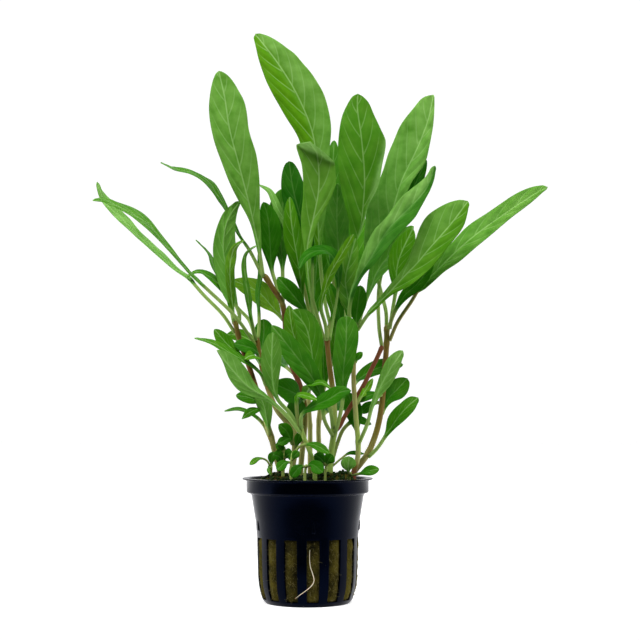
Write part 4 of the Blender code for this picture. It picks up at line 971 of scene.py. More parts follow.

# %% [markdown]
# A leaf starts as a round stalk on its stem and opens into a thin blade. The same ring of points
# serves both: on the stalk the ring is a circle, and on the blade it is a very flat lens. Each row of
# the tables gives the stem, the height on it, the places the midrib passes, the greatest width, and
# the way the upper face looks at the foot and at the tip. A large leaf whose outline is clear from
# the front also has its left and right margins, so its half widths follow them.
#
# Whatever a row leaves out comes from the plain leaf. Its first line gives the stalk's radius, the
# share of the length that is stalk, the stalk's redness, where the blade is widest and how pointed
# it is. The second gives the degrees by which its halves are raised and the size of its waves. The
# third gives the tone, its change from one half to the other (painted light and shade on a folded
# blade), the paleness (a painted sheen) and its change, how dark the foot is (painted shade) and how
# dark the crease along the midrib is (painted shade in the fold).

# %% Leaf outlines
PLAIN_LEAF = {
    "petiole": 0.75, "start": 0.1, "red": 0.3, "widest": 0.6, "blunt": 0.6,
    "fold": 8, "wave": 0.1,
    # Painted light: slant and sheen light one half, pale is a painted sheen, shade and crease are painted
    # shade.
    "tone": 0.5, "slant": 0, "pale": 0.05, "sheen": 0, "shade": 0.25, "crease": 0,
}
FOOT_ROUND = 1.3
FOOT_TAPER = 1.6
MARGIN_STEPS = 6
NOTHING = 1e-9
LEAST_SHARE = 1e-6


def blade_shape(shares, widest, blunt):
    """Width along a blade, 0 at its foot and tip and 1 where it is widest."""
    foot = np.sin(math.pi / 2 * np.clip(shares / widest, 0, 1)) ** FOOT_ROUND
    tip = np.cos(math.pi / 2 * np.clip((shares - widest) / (1 - widest), 0, 1)) ** blunt
    return np.where(shares < widest, foot, tip)


def margin_reach(places, across, margin, limit):
    """How far a margin seen from the front lies from each place, signed along its across way."""
    curve = np.array(smooth_path([Vector((x, z, 0)) for x, z in margin], MARGIN_STEPS))[:, :2]
    starts, edges = curve[:-1], np.diff(curve, axis=0)
    reaches = np.full(len(places), np.nan)
    for row, (place, way) in enumerate(zip(places, across)):
        at = front_view(Vector(place))
        step = front_view(Vector(place + way)) - at
        cross = step.x * edges[:, 1] - step.y * edges[:, 0]
        cross[np.abs(cross) < NOTHING] = NOTHING
        gap = starts - np.array(at)
        far = (gap[:, 0] * edges[:, 1] - gap[:, 1] * edges[:, 0]) / cross
        share = (gap[:, 0] * step.y - gap[:, 1] * step.x) / cross
        hits = far[(share >= 0) & (share <= 1) & (np.abs(far) < limit)]
        if len(hits):
            reaches[row] = hits[np.argmin(np.abs(hits))]
    return reaches


def filled(reaches, shares):
    """Reaches with both ends tapered to nothing where the margin was not measured."""
    known = np.flatnonzero(~np.isnan(reaches))
    first, last = known[0], known[-1]
    whole = np.interp(shares, shares[known], reaches[known])
    foot = np.clip(shares / max(shares[first], LEAST_SHARE), 0, 1)
    tip = np.clip((1 - shares) / max(1 - shares[last], LEAST_SHARE), 0, 1)
    whole = whole * foot**FOOT_TAPER * np.sqrt(tip * (2 - tip))
    soft = whole.copy()
    soft[1:-1] = (whole[:-2] + 2 * whole[1:-1] + whole[2:]) / 4
    return soft


print("outline helpers ready")

# %% [markdown]
# Two leaves have an edge or a tip that rolls over and shows its other face. What lies beyond a crease
# is wound around a small cylinder along that crease, which keeps its length as a real leaf does.

# %% Rolled edge
# Past this many radii beyond the crease, a rolled part starts to get painted sheen in its colour.
ROLL_SHOWS = 0.2


def curled(rings, start, end, radius, degrees):
    """Bends what lies left of a crease, as the front view shows it. Also tells what lies there."""
    points = rings.reshape(-1, 3)
    shown = np.array([front_view(Vector(point)) for point in points])
    ends = []
    for place in (start, end):
        nearest = points[np.argmin(np.linalg.norm(shown - np.array(place), axis=1))]
        ends.append(np.array(seen(*place, nearest[1])))
    foot, head = ends
    along = (head - foot) / np.linalg.norm(head - foot)
    out = np.array([-along[2], 0, along[0]]) / math.hypot(along[0], along[2])
    toward = np.cross(along, out) * math.copysign(1, degrees)
    gap = points - foot
    past, height = gap @ out, gap @ toward
    turn = np.clip(past / radius, 0, math.radians(abs(degrees)))
    straight = np.maximum(past, 0) - radius * turn
    sine, cosine = np.sin(turn), np.cos(turn)
    new_past = np.minimum(past, 0) + radius * sine + straight * cosine - height * sine
    new_height = radius * (1 - cosine) + straight * sine + height * cosine
    bent = points + np.outer(new_past - past, out) + np.outer(new_height - height, toward)
    rolled = np.clip(past / radius - ROLL_SHOWS, 0, 1)
    return bent.reshape(rings.shape), rolled.reshape(rings.shape[:2])


print("rolled edge ready")

# %% [markdown]
# A leaf is worked out row by row along its midrib, with rows closer together near the tip, where the
# outline turns fast. Each row knows which way is up from the blade and which way is across it.

# %% Midrib and width of one leaf
STALK_OVERLAP = 0.4
STALK_ROW = 1.6
FEWEST_ROWS = 9
MIDRIB_CROWDS = 0.45


def leaf_midrib(spec, line, radius, row_step):
    """The midrib's curve from the stem to the tip, and the share of its length at each row."""
    axis = min(line, key=lambda place: abs(place.z - spec["height"]))
    outward = seen(*spec["ways"][0]) - axis
    outward.z = 0
    foot = axis + outward.normalized() * (radius + spec["petiole"] * STALK_OVERLAP)
    path = smooth_path([foot, *[seen(*way) for way in spec["ways"]], seen(*spec["tip"])])
    length, start = path_length(path), spec["start"]
    stalk_rows = max(2, round(start * length / (row_step * STALK_ROW)))
    blade_rows = max(FEWEST_ROWS, round((1 - start) * length / row_step))
    steady = np.linspace(0, 1, blade_rows)
    stations = (steady + np.sin(math.pi / 2 * steady)) / 2
    stalk = np.linspace(0, start, stalk_rows, endpoint=False)
    return path, np.concatenate([stalk, start + (1 - start) * stations])


def leaf_ways(spec, shares, ahead):
    """The directions up from the blade and across it, at each row."""
    foot, tip = [np.array(Vector(way).normalized()) for way in spec["face"]]
    face = foot + (tip - foot) * shares[:, None]
    up = face - ahead * np.sum(face * ahead, axis=1, keepdims=True)
    up /= np.linalg.norm(up, axis=1, keepdims=True)
    return up, np.cross(up, ahead)


def leaf_halves(spec, places, across, opened):
    """Half widths on the blade's two sides. They follow its margins where the row has them."""
    shape = spec["width"] / 2 * blade_shape(opened, spec["widest"], spec["blunt"])
    halves = {1: shape, -1: shape}
    for margin in [spec[name] for name in ("left", "right") if name in spec]:
        reaches = margin_reach(places, across, margin, spec["width"])
        side = 1 if np.nanmean(reaches) > 0 else -1
        halves[side] = filled(np.abs(reaches), opened) * (opened > 0)
    return halves


def ring_of(columns, spread):
    """Each ring point's place across, from -1 to 1, and whether it is above, below or at an edge."""
    steps = np.arange(-columns, columns + 1) / columns
    circle = np.sin(math.pi / 2 * steps)
    flat = circle * (1 - MIDRIB_CROWDS * (1 - np.abs(steps)))
    above = circle + (flat - circle) * spread[:, None]
    upper = np.concatenate([np.ones(2 * columns + 1), -np.ones(2 * columns - 1)])
    upper[[0, 2 * columns]] = 0
    return np.concatenate([above, above[:, -2:0:-1]], axis=1), upper


print("leaf rows ready")

# %% [markdown]
# Side veins leave the midrib in pairs and sweep towards the tip. Between them the blade is raised in
# soft quilts, its halves are folded up a little, and its margins wave. Heights are in millimetres.

# %% Surface of one leaf
BLADE_HALF_THICK = 0.17
EDGE_HALF_THICK = 0.06
FOLD_ROUND = 0.7
VEIN_SPREAD = 2.5
VEIN_CURVE = 2.4
VEIN_GAPS = (3.2, 11.0)
VEIN_PAIRS = 6.5
VEIN_BACK = 0.55
VEIN_STAGGER = 0.35
VEIN_REACH = 0.5
QUILT = 0.26
QUILT_ROUND = 0.7
QUILT_FULL_WIDTH = 8.0
QUILT_MOST = 1.5
WAVE_LENGTH = 18.0
WAVE_RISE = 2.2
WAVE_FULL_WIDTH = 12.0
WAVE_APART = 1.9
RIB_WIDE = 0.55
RIB_RISE = 0.5
RIB_LEAST = 0.1
RIB_ABOVE = 0.3


def vein_numbers(spec, ring_across, side_out, reach, travelled, length):
    """A number that grows by one from each side vein to the next, at every point."""
    blade_length = (1 - spec["start"]) * length
    spacing = min(VEIN_GAPS[1], max(VEIN_GAPS[0], blade_length / VEIN_PAIRS))
    back = VEIN_SPREAD * side_out + VEIN_CURVE * side_out**2 / np.maximum(reach, VEIN_REACH)
    stagger = (ring_across > 0) * spacing * VEIN_STAGGER
    return (travelled - spec["start"] * length - back * VEIN_BACK + stagger) / spacing


def blade_rise(spec, ring_across, out, bend, vein, travelled):
    """How far each point is raised by the fold, the quilting between veins and the waves."""
    rise = (np.sqrt(out**2 + FOLD_ROUND**2) - FOLD_ROUND) * np.sin(bend)
    between = np.sin(math.pi * np.clip(np.abs(ring_across), 0, 1)) ** QUILT_ROUND
    quilt = QUILT * (0.5 + 0.5 * np.cos(math.tau * vein)) * between
    wave = WAVE_RISE * spec["wave"] * spec["width"] / WAVE_FULL_WIDTH
    phase = random.uniform(0, math.tau)
    ripple = np.sin(math.tau * travelled / WAVE_LENGTH + phase + WAVE_APART * np.sign(ring_across))
    quilt *= min(QUILT_MOST, spec["width"] / QUILT_FULL_WIDTH)
    return rise, quilt + wave * ring_across**2 * ripple


print("leaf surface ready")

# %% [markdown]
# Last come the rings and the values that the leaf material reads. The foot of a blade gets painted
# shade, so it is darker than its tip; a young leaf is paler, and the stalk as red as its stem makes
# it. One half of a folded blade gets painted light and the other painted shade, the crease along the
# midrib gets painted shade, and a rolled edge gets a painted sheen.

# %% Leaf skin
STALK_FADES = 0.6
FLAT_FROM = 1.5
GREEN_FROM = 1.6
FLANK_RISE = 4
CREASE_SHADE_HALF = 1.8
CREASE_SHADE_DULLS = 2
RIB_FULL_WIDTH = 8.0
FOOT_SHADE = 0.4
ROLLED_SHEEN = 0.8


def leaf_values(spec, opened, ring_across, side_out, rolled):
    """Colour values on the points: tone with painted shade, paleness as painted sheen, redness and the
    place beside the midrib.
    """
    # Painted shade darkens the foot and the crease; flank paints light on one half and shade on the other;
    # pale paints sheen, more on a rolled edge.
    shaded = spec["shade"] * (1 - opened)
    flank = np.clip(FLANK_RISE * ring_across, -1, 1)
    crease = spec["crease"] * np.exp(-((side_out / CREASE_SHADE_HALF) ** 2))
    pale = (spec["pale"] + spec["sheen"] * flank) * (1 - shaded) * (1 - CREASE_SHADE_DULLS * crease)
    return {
        "tone": spec["tone"] + spec["slant"] * flank - FOOT_SHADE * shaded - crease,
        "pale": pale + ROLLED_SHEEN * rolled,
        "across": np.abs(ring_across),
        "rib": side_out * max(1, RIB_FULL_WIDTH / spec["width"]),
        "red": spec["red"] * (1 - opened),
    }


def leaf_skin(spec, line, radius, columns, row_step, finish=0):
    """One leaf on its stem, from the table's row."""
    spec = {**PLAIN_LEAF, **spec}
    petiole, start = spec["petiole"], spec["start"]
    path, shares = leaf_midrib(spec, line, radius, row_step)
    length = path_length(path)
    opened = np.clip((shares - start) / (1 - start), 0, 1)
    places, ahead = along_path(path, shares)
    up, across = leaf_ways(spec, shares, ahead)
    halves = leaf_halves(spec, places, across, opened)

    stem_part = petiole * (1 - opened) ** STALK_FADES + EDGE_HALF_THICK
    widths = {side: np.hypot(half, stem_part) for side, half in halves.items()}
    spread = np.clip((widths[1] + widths[-1]) / 2 / petiole - 1, 0, FLAT_FROM) / FLAT_FROM
    spread = np.maximum.accumulate(spread * spread * (3 - 2 * spread))
    green = np.clip((halves[1] + halves[-1]) / (GREEN_FROM * petiole), 0, 1)
    green = np.maximum.accumulate(green)

    ring_across, upper = ring_of(columns, spread)
    reach = np.where(ring_across >= 0, widths[1][:, None], widths[-1][:, None])
    out = ring_across * reach
    travelled = (shares * length)[:, None]
    vein = vein_numbers(spec, ring_across, np.abs(out), reach, travelled, length)

    openness = spread[:, None]
    bend = math.radians(spec["fold"]) * openness
    thick = petiole + (BLADE_HALF_THICK - petiole) * openness
    folded, rippled = blade_rise(spec, ring_across, out, bend, vein, travelled)
    section = thick * np.sqrt(np.clip(1 - ring_across**2, 0, 1)) * np.sign(upper)
    rise = section + folded + rippled * openness
    rib_size = RIB_RISE * (1 - opened)[:, None] + RIB_LEAST
    rib = np.exp(-((out / RIB_WIDE) ** 2)) * openness
    rise -= rib * np.where(upper < 0, rib_size, RIB_ABOVE * rib_size)
    aside = across[:, None, :] * (out * np.cos(bend))[:, :, None]
    rings = places[:, None, :] + aside + up[:, None, :] * rise[:, :, None]

    rings, rolled = curled(rings, *spec["curl"]) if "curl" in spec else (rings, 0)
    values = leaf_values(spec, opened[:, None], ring_across, np.abs(out), rolled)
    values |= {"under": (1 - upper[None, :]) / 2, "vein": vein, "blade": green[:, None]}
    return ring_skin(rings, values, finish)


print("leaf skin ready")

# %% [markdown]
# The small leaves come first. They sit on the stems and are joined to them, so each stem and its
# small leaves make one piece. The long narrow ones hang or curl, and the dark round ones stand in
# the shade of the pot's rim.

# %% Small leaves
# Low tones of leaves deep in the plant are partly painted shade; shade, crease, slant, pale and sheen
# values paint light and shade.
SMALL_LEAVES = {
    "left_speckled_low": dict(
        stem="stem_left", height=70, width=6.4, face=((0.3, 1, -0.2), (0.3, 1, -0.2)), pale=0.3,
        ways=[(-17, 76, -9), (-18.6, 83, -11)], tip=(-22.2, 89.6, -12),
    ),
    "left_mid": dict(
        stem="stem_left", height=101, width=6, face=((-0.2, -1, 0.4), (-0.2, -1, 0.4)), start=0.06,
        ways=[(-28.6, 103.4, -3), (-33.6, 107.8, -3)], tip=(-39.6, 114.7, -2),
    ),
    "dark_left": dict(
        stem="stem_left_behind", height=103, width=7, face=((0, -1, 0.7), (0, -1, 0.5)), start=0.06,
        blunt=0.5, tone=0.28, ways=[(-22.6, 106, -1), (-26.6, 107.4, -3)], tip=(-31.2, 108.4, -4),
    ),
    "dark_left_round": dict(
        stem="stem_left_behind", height=105.5, width=9, face=((0, -1, 0.1), (0, -1, 0.2)), start=0.06,
        blunt=0.5, tone=0.35, ways=[(-19.3, 108, 10), (-18.6, 113, 12)], tip=(-18.8, 119, 13),
    ),
    "left_bright_behind": dict(
        stem="stem_left_behind", height=107.5, width=6.4, face=((0.2, -1, 0.5), (0.1, -1, 0.5)), start=0.06,
        tone=0.62, pale=0.1, ways=[(-24, 109.6, 10), (-29, 112, 13)], tip=(-34.6, 112.2, 14),
    ),
    "under_right_broad": dict(
        stem="stem_olive_right", height=115.5, width=6.5, face=((-0.2, -1, 0.5), (-0.2, -1, 0.5)),
        start=0.22, tone=0.35, ways=[(36.9, 122, 1), (40.8, 128.6, 0), (46.8, 134.2, -1)],
        tip=(53.4, 143, -1),
    ),
    "dark_low_center": dict(
        stem="stem_behind_right", height=111.5, width=5.6, face=((0.4, -1, 0), (0.4, -1, 0.2)), start=0.12,
        fold=10, tone=0.28, ways=[(13.6, 120, 5), (11.4, 127.4, 2)], tip=(8.8, 135, 0),
    ),
    "gray_green_low": dict(
        stem="stem_red_brown", height=73, width=8.4, face=((0, -1, 0), (0, -1, 0.2)), start=0.08, fold=10,
        tone=0.28, pale=0.15, ways=[(-4.4, 77, -3), (-4.8, 81, -4)], tip=(-5, 86, -4),
    ),
    "dark_low_right": dict(
        stem="stem_pale_right", height=67.5, width=7.6, face=((0, -1, 0), (0, -1, 0.2)), start=0.2,
        tone=0.26, ways=[(20.6, 73, -1), (19.4, 80, 1)], tip=(17, 88, 2),
    ),
    "dark_round_center": dict(
        stem="stem_pale_right", height=114.5, width=7.2, face=((0, -1, 0), (0, -1, 0.3)), blunt=0.5,
        tone=0.3, ways=[(20.6, 119.6, -4), (21.4, 126, -5)], tip=(22.4, 133.3, -5),
    ),
    "bright_pink_stalk": dict(
        stem="stem_behind_left", height=97, width=6.6, face=((0, -1, 0.1), (-0.1, -1, 0.2)), start=0.25,
        fold=9, tone=0.66, pale=0.1, ways=[(-2, 103.4, 6), (-4.6, 108.6, 4), (-6.6, 114.6, 2)],
        tip=(-8, 124.8, 1),
    ),
    "pale_strip": dict(
        stem="stem_behind_left", height=119, width=3.4, face=((-1, -0.8, 0.4), (0, -1, 0.4)), start=0.4,
        tone=0.6, pale=0.8,
        ways=[(-2, 134, 12), (-8, 154, 9.5), (-10.1, 161.4, 9), (-12.6, 165.8, 9), (-14.2, 169.6, 9.5),
        (-16.4, 173.6, 10)], tip=(-21, 176.4, 11),
    ),
    "behind_crown_top": dict(
        stem="stem_behind_right", height=108, width=9, face=((0, -1, 0.1), (0, -1, 0.2)), start=0.3,
        blunt=0.5, tone=0.45, pale=0.2, ways=[(12, 124, 20), (9.6, 150, 26), (10.4, 176, 28)],
        tip=(11.2, 195.4, 27),
    ),
    "left_green": dict(
        stem="stem_left", height=83.5, width=5.4, face=((0, -1, 0.4), (0, -1, 0.4)), tone=0.4,
        ways=[(-22.4, 84.8, -10), (-26, 86, -12)], tip=(-30.4, 86.6, -12),
    ),
    "left_green_low": dict(
        stem="stem_left", height=80, width=4, face=((-0.2, -1, 0.4), (-0.2, -1, 0.4)), blunt=1.1, tone=0.45,
        ways=[(-21.6, 80.6, -10), (-24.6, 79.4, -12)], tip=(-27.9, 76.6, -12),
    ),
    "left_low_arch": dict(
        stem="stem_left", height=69.8, width=4.2, face=((0.6, -0.5, 0.8), (0, -0.4, 1)), start=0.3,
        tone=0.45, ways=[(-18.4, 74, -2), (-22.4, 78, 0), (-29, 80.8, 1)], tip=(-35.2, 80, 1),
    ),
    "bright_folded": dict(
        stem="stem_left_behind", height=100, width=6.6, face=((0, -1, 1), (0, -1, 1)), tone=0.6,
        ways=[(-22, 103.2, -6), (-24, 103.4, -8)], tip=(-26.8, 101.8, -9),
    ),
    "bright_pointing_right": dict(
        stem="stem_short_front", height=73, width=3.8, face=((0.4, -1, 0.6), (0.2, -1, 0.8)), start=0.4,
        tone=0.6, ways=[(-4.6, 80, -18), (-4, 86.6, -21), (0, 86.2, -24)], tip=(3.9, 84.6, -26),
    ),
    "curled_center": dict(
        stem="stem_red_brown", height=85, width=5.2, face=((0, -0.8, 1), (0.3, -0.8, 1)),
        ways=[(-0.4, 88.6, -12), (2.2, 91.4, -21), (6, 92, -22)], tip=(9.8, 89.4, -22),
    ),
    "bright_beside_shoot": dict(
        stem="stem_pale_right", height=83, width=3.6, face=((0.6, -1, 0), (0.6, -1, 0)), tone=0.75,
        ways=[(22.6, 86.4, -4), (25, 89.6, 1)], tip=(27.6, 93.8, 2),
    ),
    "dark_pointing_left": dict(
        stem="stem_olive_right", height=87, width=4.2, face=((0, -1, 0.6), (0, -1, 0.6)), tone=0.3,
        ways=[(28.4, 87.2, 1), (24.6, 86, -1)], tip=(20.8, 83.8, 0),
    ),
    "dark_pointing_down_left": dict(
        stem="stem_olive_right", height=83.5, width=4.6, face=((0, -1, 0.4), (0, -1, 0.4)), tone=0.3,
        ways=[(28.6, 83.6, 5), (25.4, 81.8, 5)], tip=(22.4, 79.2, 6),
    ),
    "small_right_of_front": dict(
        stem="stem_pale_right", height=100, width=2.8, face=((0, -1, 0), (0, -1, 0)), tone=0.4,
        ways=[(20.6, 102, -5), (21.8, 103.6, -6)], tip=(23.2, 104.9, -6),
    ),
    "green_right_of_center": dict(
        stem="stem_center", height=109, width=3.6, face=((0, -1, 0), (0, -1, 0)), start=0.3,
        ways=[(9.6, 116.4, -2), (11, 121.8, -3), (9.6, 128, -4)], tip=(8.4, 134, -4),
    ),
    "green_behind_center": dict(
        stem="stem_behind_right", height=88, width=6, face=((0, -1, 0), (0, -1, 0.2)), tone=0.4,
        ways=[(7, 93, 9), (6.6, 101, 8)], tip=(6.8, 110.6, 9),
    ),
    "green_behind_front_broad": dict(
        stem="stem_behind_right", height=98, width=7.5, face=((0, -1, 0), (0, -1, 0.2)),
        ways=[(11, 104, 9), (11.6, 112, 8)], tip=(12.8, 123.4, 8),
    ),
    "low_behind_pale_stem": dict(
        stem="stem_center", height=58, width=3.6, face=((0, -1, 0.5), (0, -1, 0.5)), start=0.6, tone=0.3,
        ways=[(12.6, 66.6, -3), (15.4, 72.8, 0), (20.6, 76.4, 3)], tip=(26.9, 74.4, 4),
    ),
    "low_dark_right": dict(
        stem="stem_center", height=57, width=2.6, face=((0, -1, 1), (0, -1, 1)), start=0.5, petiole=0.4,
        tone=0.25, ways=[(14.6, 60.4, -3), (17.6, 62.3, 0)], tip=(23.8, 62.1, 1),
    ),
    "low_left_upper": dict(
        stem="stem_left_behind", height=66.5, width=5.4, face=((0, -1, 0.2), (0, -1, 0.2)), tone=0.35,
        ways=[(-8.8, 71.4, -11.6)], tip=(-12.3, 74.4, -13),
    ),
    "low_left_lower": dict(
        stem="stem_left_behind", height=68.6, width=4.2, face=((0, -1, 0.5), (0, -1, 0.5)), tone=0.35,
        ways=[(-9, 67.9, -11.6)], tip=(-12.7, 66, -13),
    ),
    "low_inner": dict(
        stem="stem_left_behind", height=65, width=3.6, face=((0, -1, 0), (0, -1, 0)), tone=0.35,
        ways=[(-4, 68, -12)], tip=(-2.8, 71.4, -12),
    ),
    "back_center": dict(
        stem="stem_behind_left", height=97, width=14, face=((0, -1, 0.3), (0, -0.6, 1)), start=0.2,
        tone=0.45, ways=[(1.6, 112, 24), (3, 132, 35), (4.6, 154, 43)], tip=(6, 174, 48),
    ),
    "back_right_of_center": dict(
        stem="stem_behind_right", height=109, width=13, face=((0, -1, 0.3), (0, -0.6, 1)), start=0.2,
        ways=[(15.4, 122, 22), (18, 140, 34)], tip=(22, 166, 46),
    ),
    "back_left_low": dict(
        stem="stem_red_brown", height=96, width=11, face=((0, -0.5, 1), (0, -0.2, 1)), start=0.2, tone=0.4,
        ways=[(-9.6, 99, 16), (-13.4, 102, 28)], tip=(-16.4, 103, 42),
    ),
    "back_right_low": dict(
        stem="stem_behind_right", height=76, width=10, face=((0.1, -1, 0.3), (0.1, -1, 0.4)), start=0.2,
        tone=0.25, ways=[(8.6, 80.6, 24), (12.4, 83.4, 33)], tip=(16.6, 84.6, 43),
    ),
    "back_left_round": dict(
        stem="stem_behind_left", height=76, width=8.6, face=((0, -1, 0.3), (0, -1, 0.4)), start=0.2,
        tone=0.25, ways=[(-3, 82, 21), (-6, 86, 30)], tip=(-8.6, 88.4, 39),
    ),
    "back_center_low": dict(
        stem="stem_behind_right", height=95, width=9, face=((0, -0.5, 1), (0, -0.2, 1)), start=0.2,
        tone=0.4, ways=[(10.6, 102, 23), (13, 107, 33)], tip=(15, 111, 43),
    ),
}

print("small leaves:", len(SMALL_LEAVES))

# %% [markdown]
# Now each stem is made, with every small leaf whose row names it. Small leaves get fewer and closer
# rows than large ones.

# %% Stems with their small leaves
SMALL_COLUMNS = 8
SMALL_STEP = 0.9
SMALL_SINKS = 0.8


def with_leaves(name, skin, line, radius, leaves, row_step):
    """The skin of a stem or sprout and the skins of the leaves whose rows name it."""
    mine = [spec for spec in leaves.values() if spec["stem"] == name]
    return [skin, *[leaf_skin(spec, line, radius, SMALL_COLUMNS, row_step, finish=1) for spec in mine]]


lines = {name: stem_line(row["places"]) for name, row in STEMS.items()}
for name, row in STEMS.items():
    radii = (row["foot_radius"], row["top_radius"])
    skin = stem_skin(lines[name], radii, row["nodes"], REDNESS[name])
    skins = with_leaves(name, skin, lines[name], radii[1] * SMALL_SINKS, SMALL_LEAVES, SMALL_STEP)
    grown(f"{name}_skin", skins, [bark, leaf], stands_for=[name])
print("stems with small leaves:", len(STEMS))
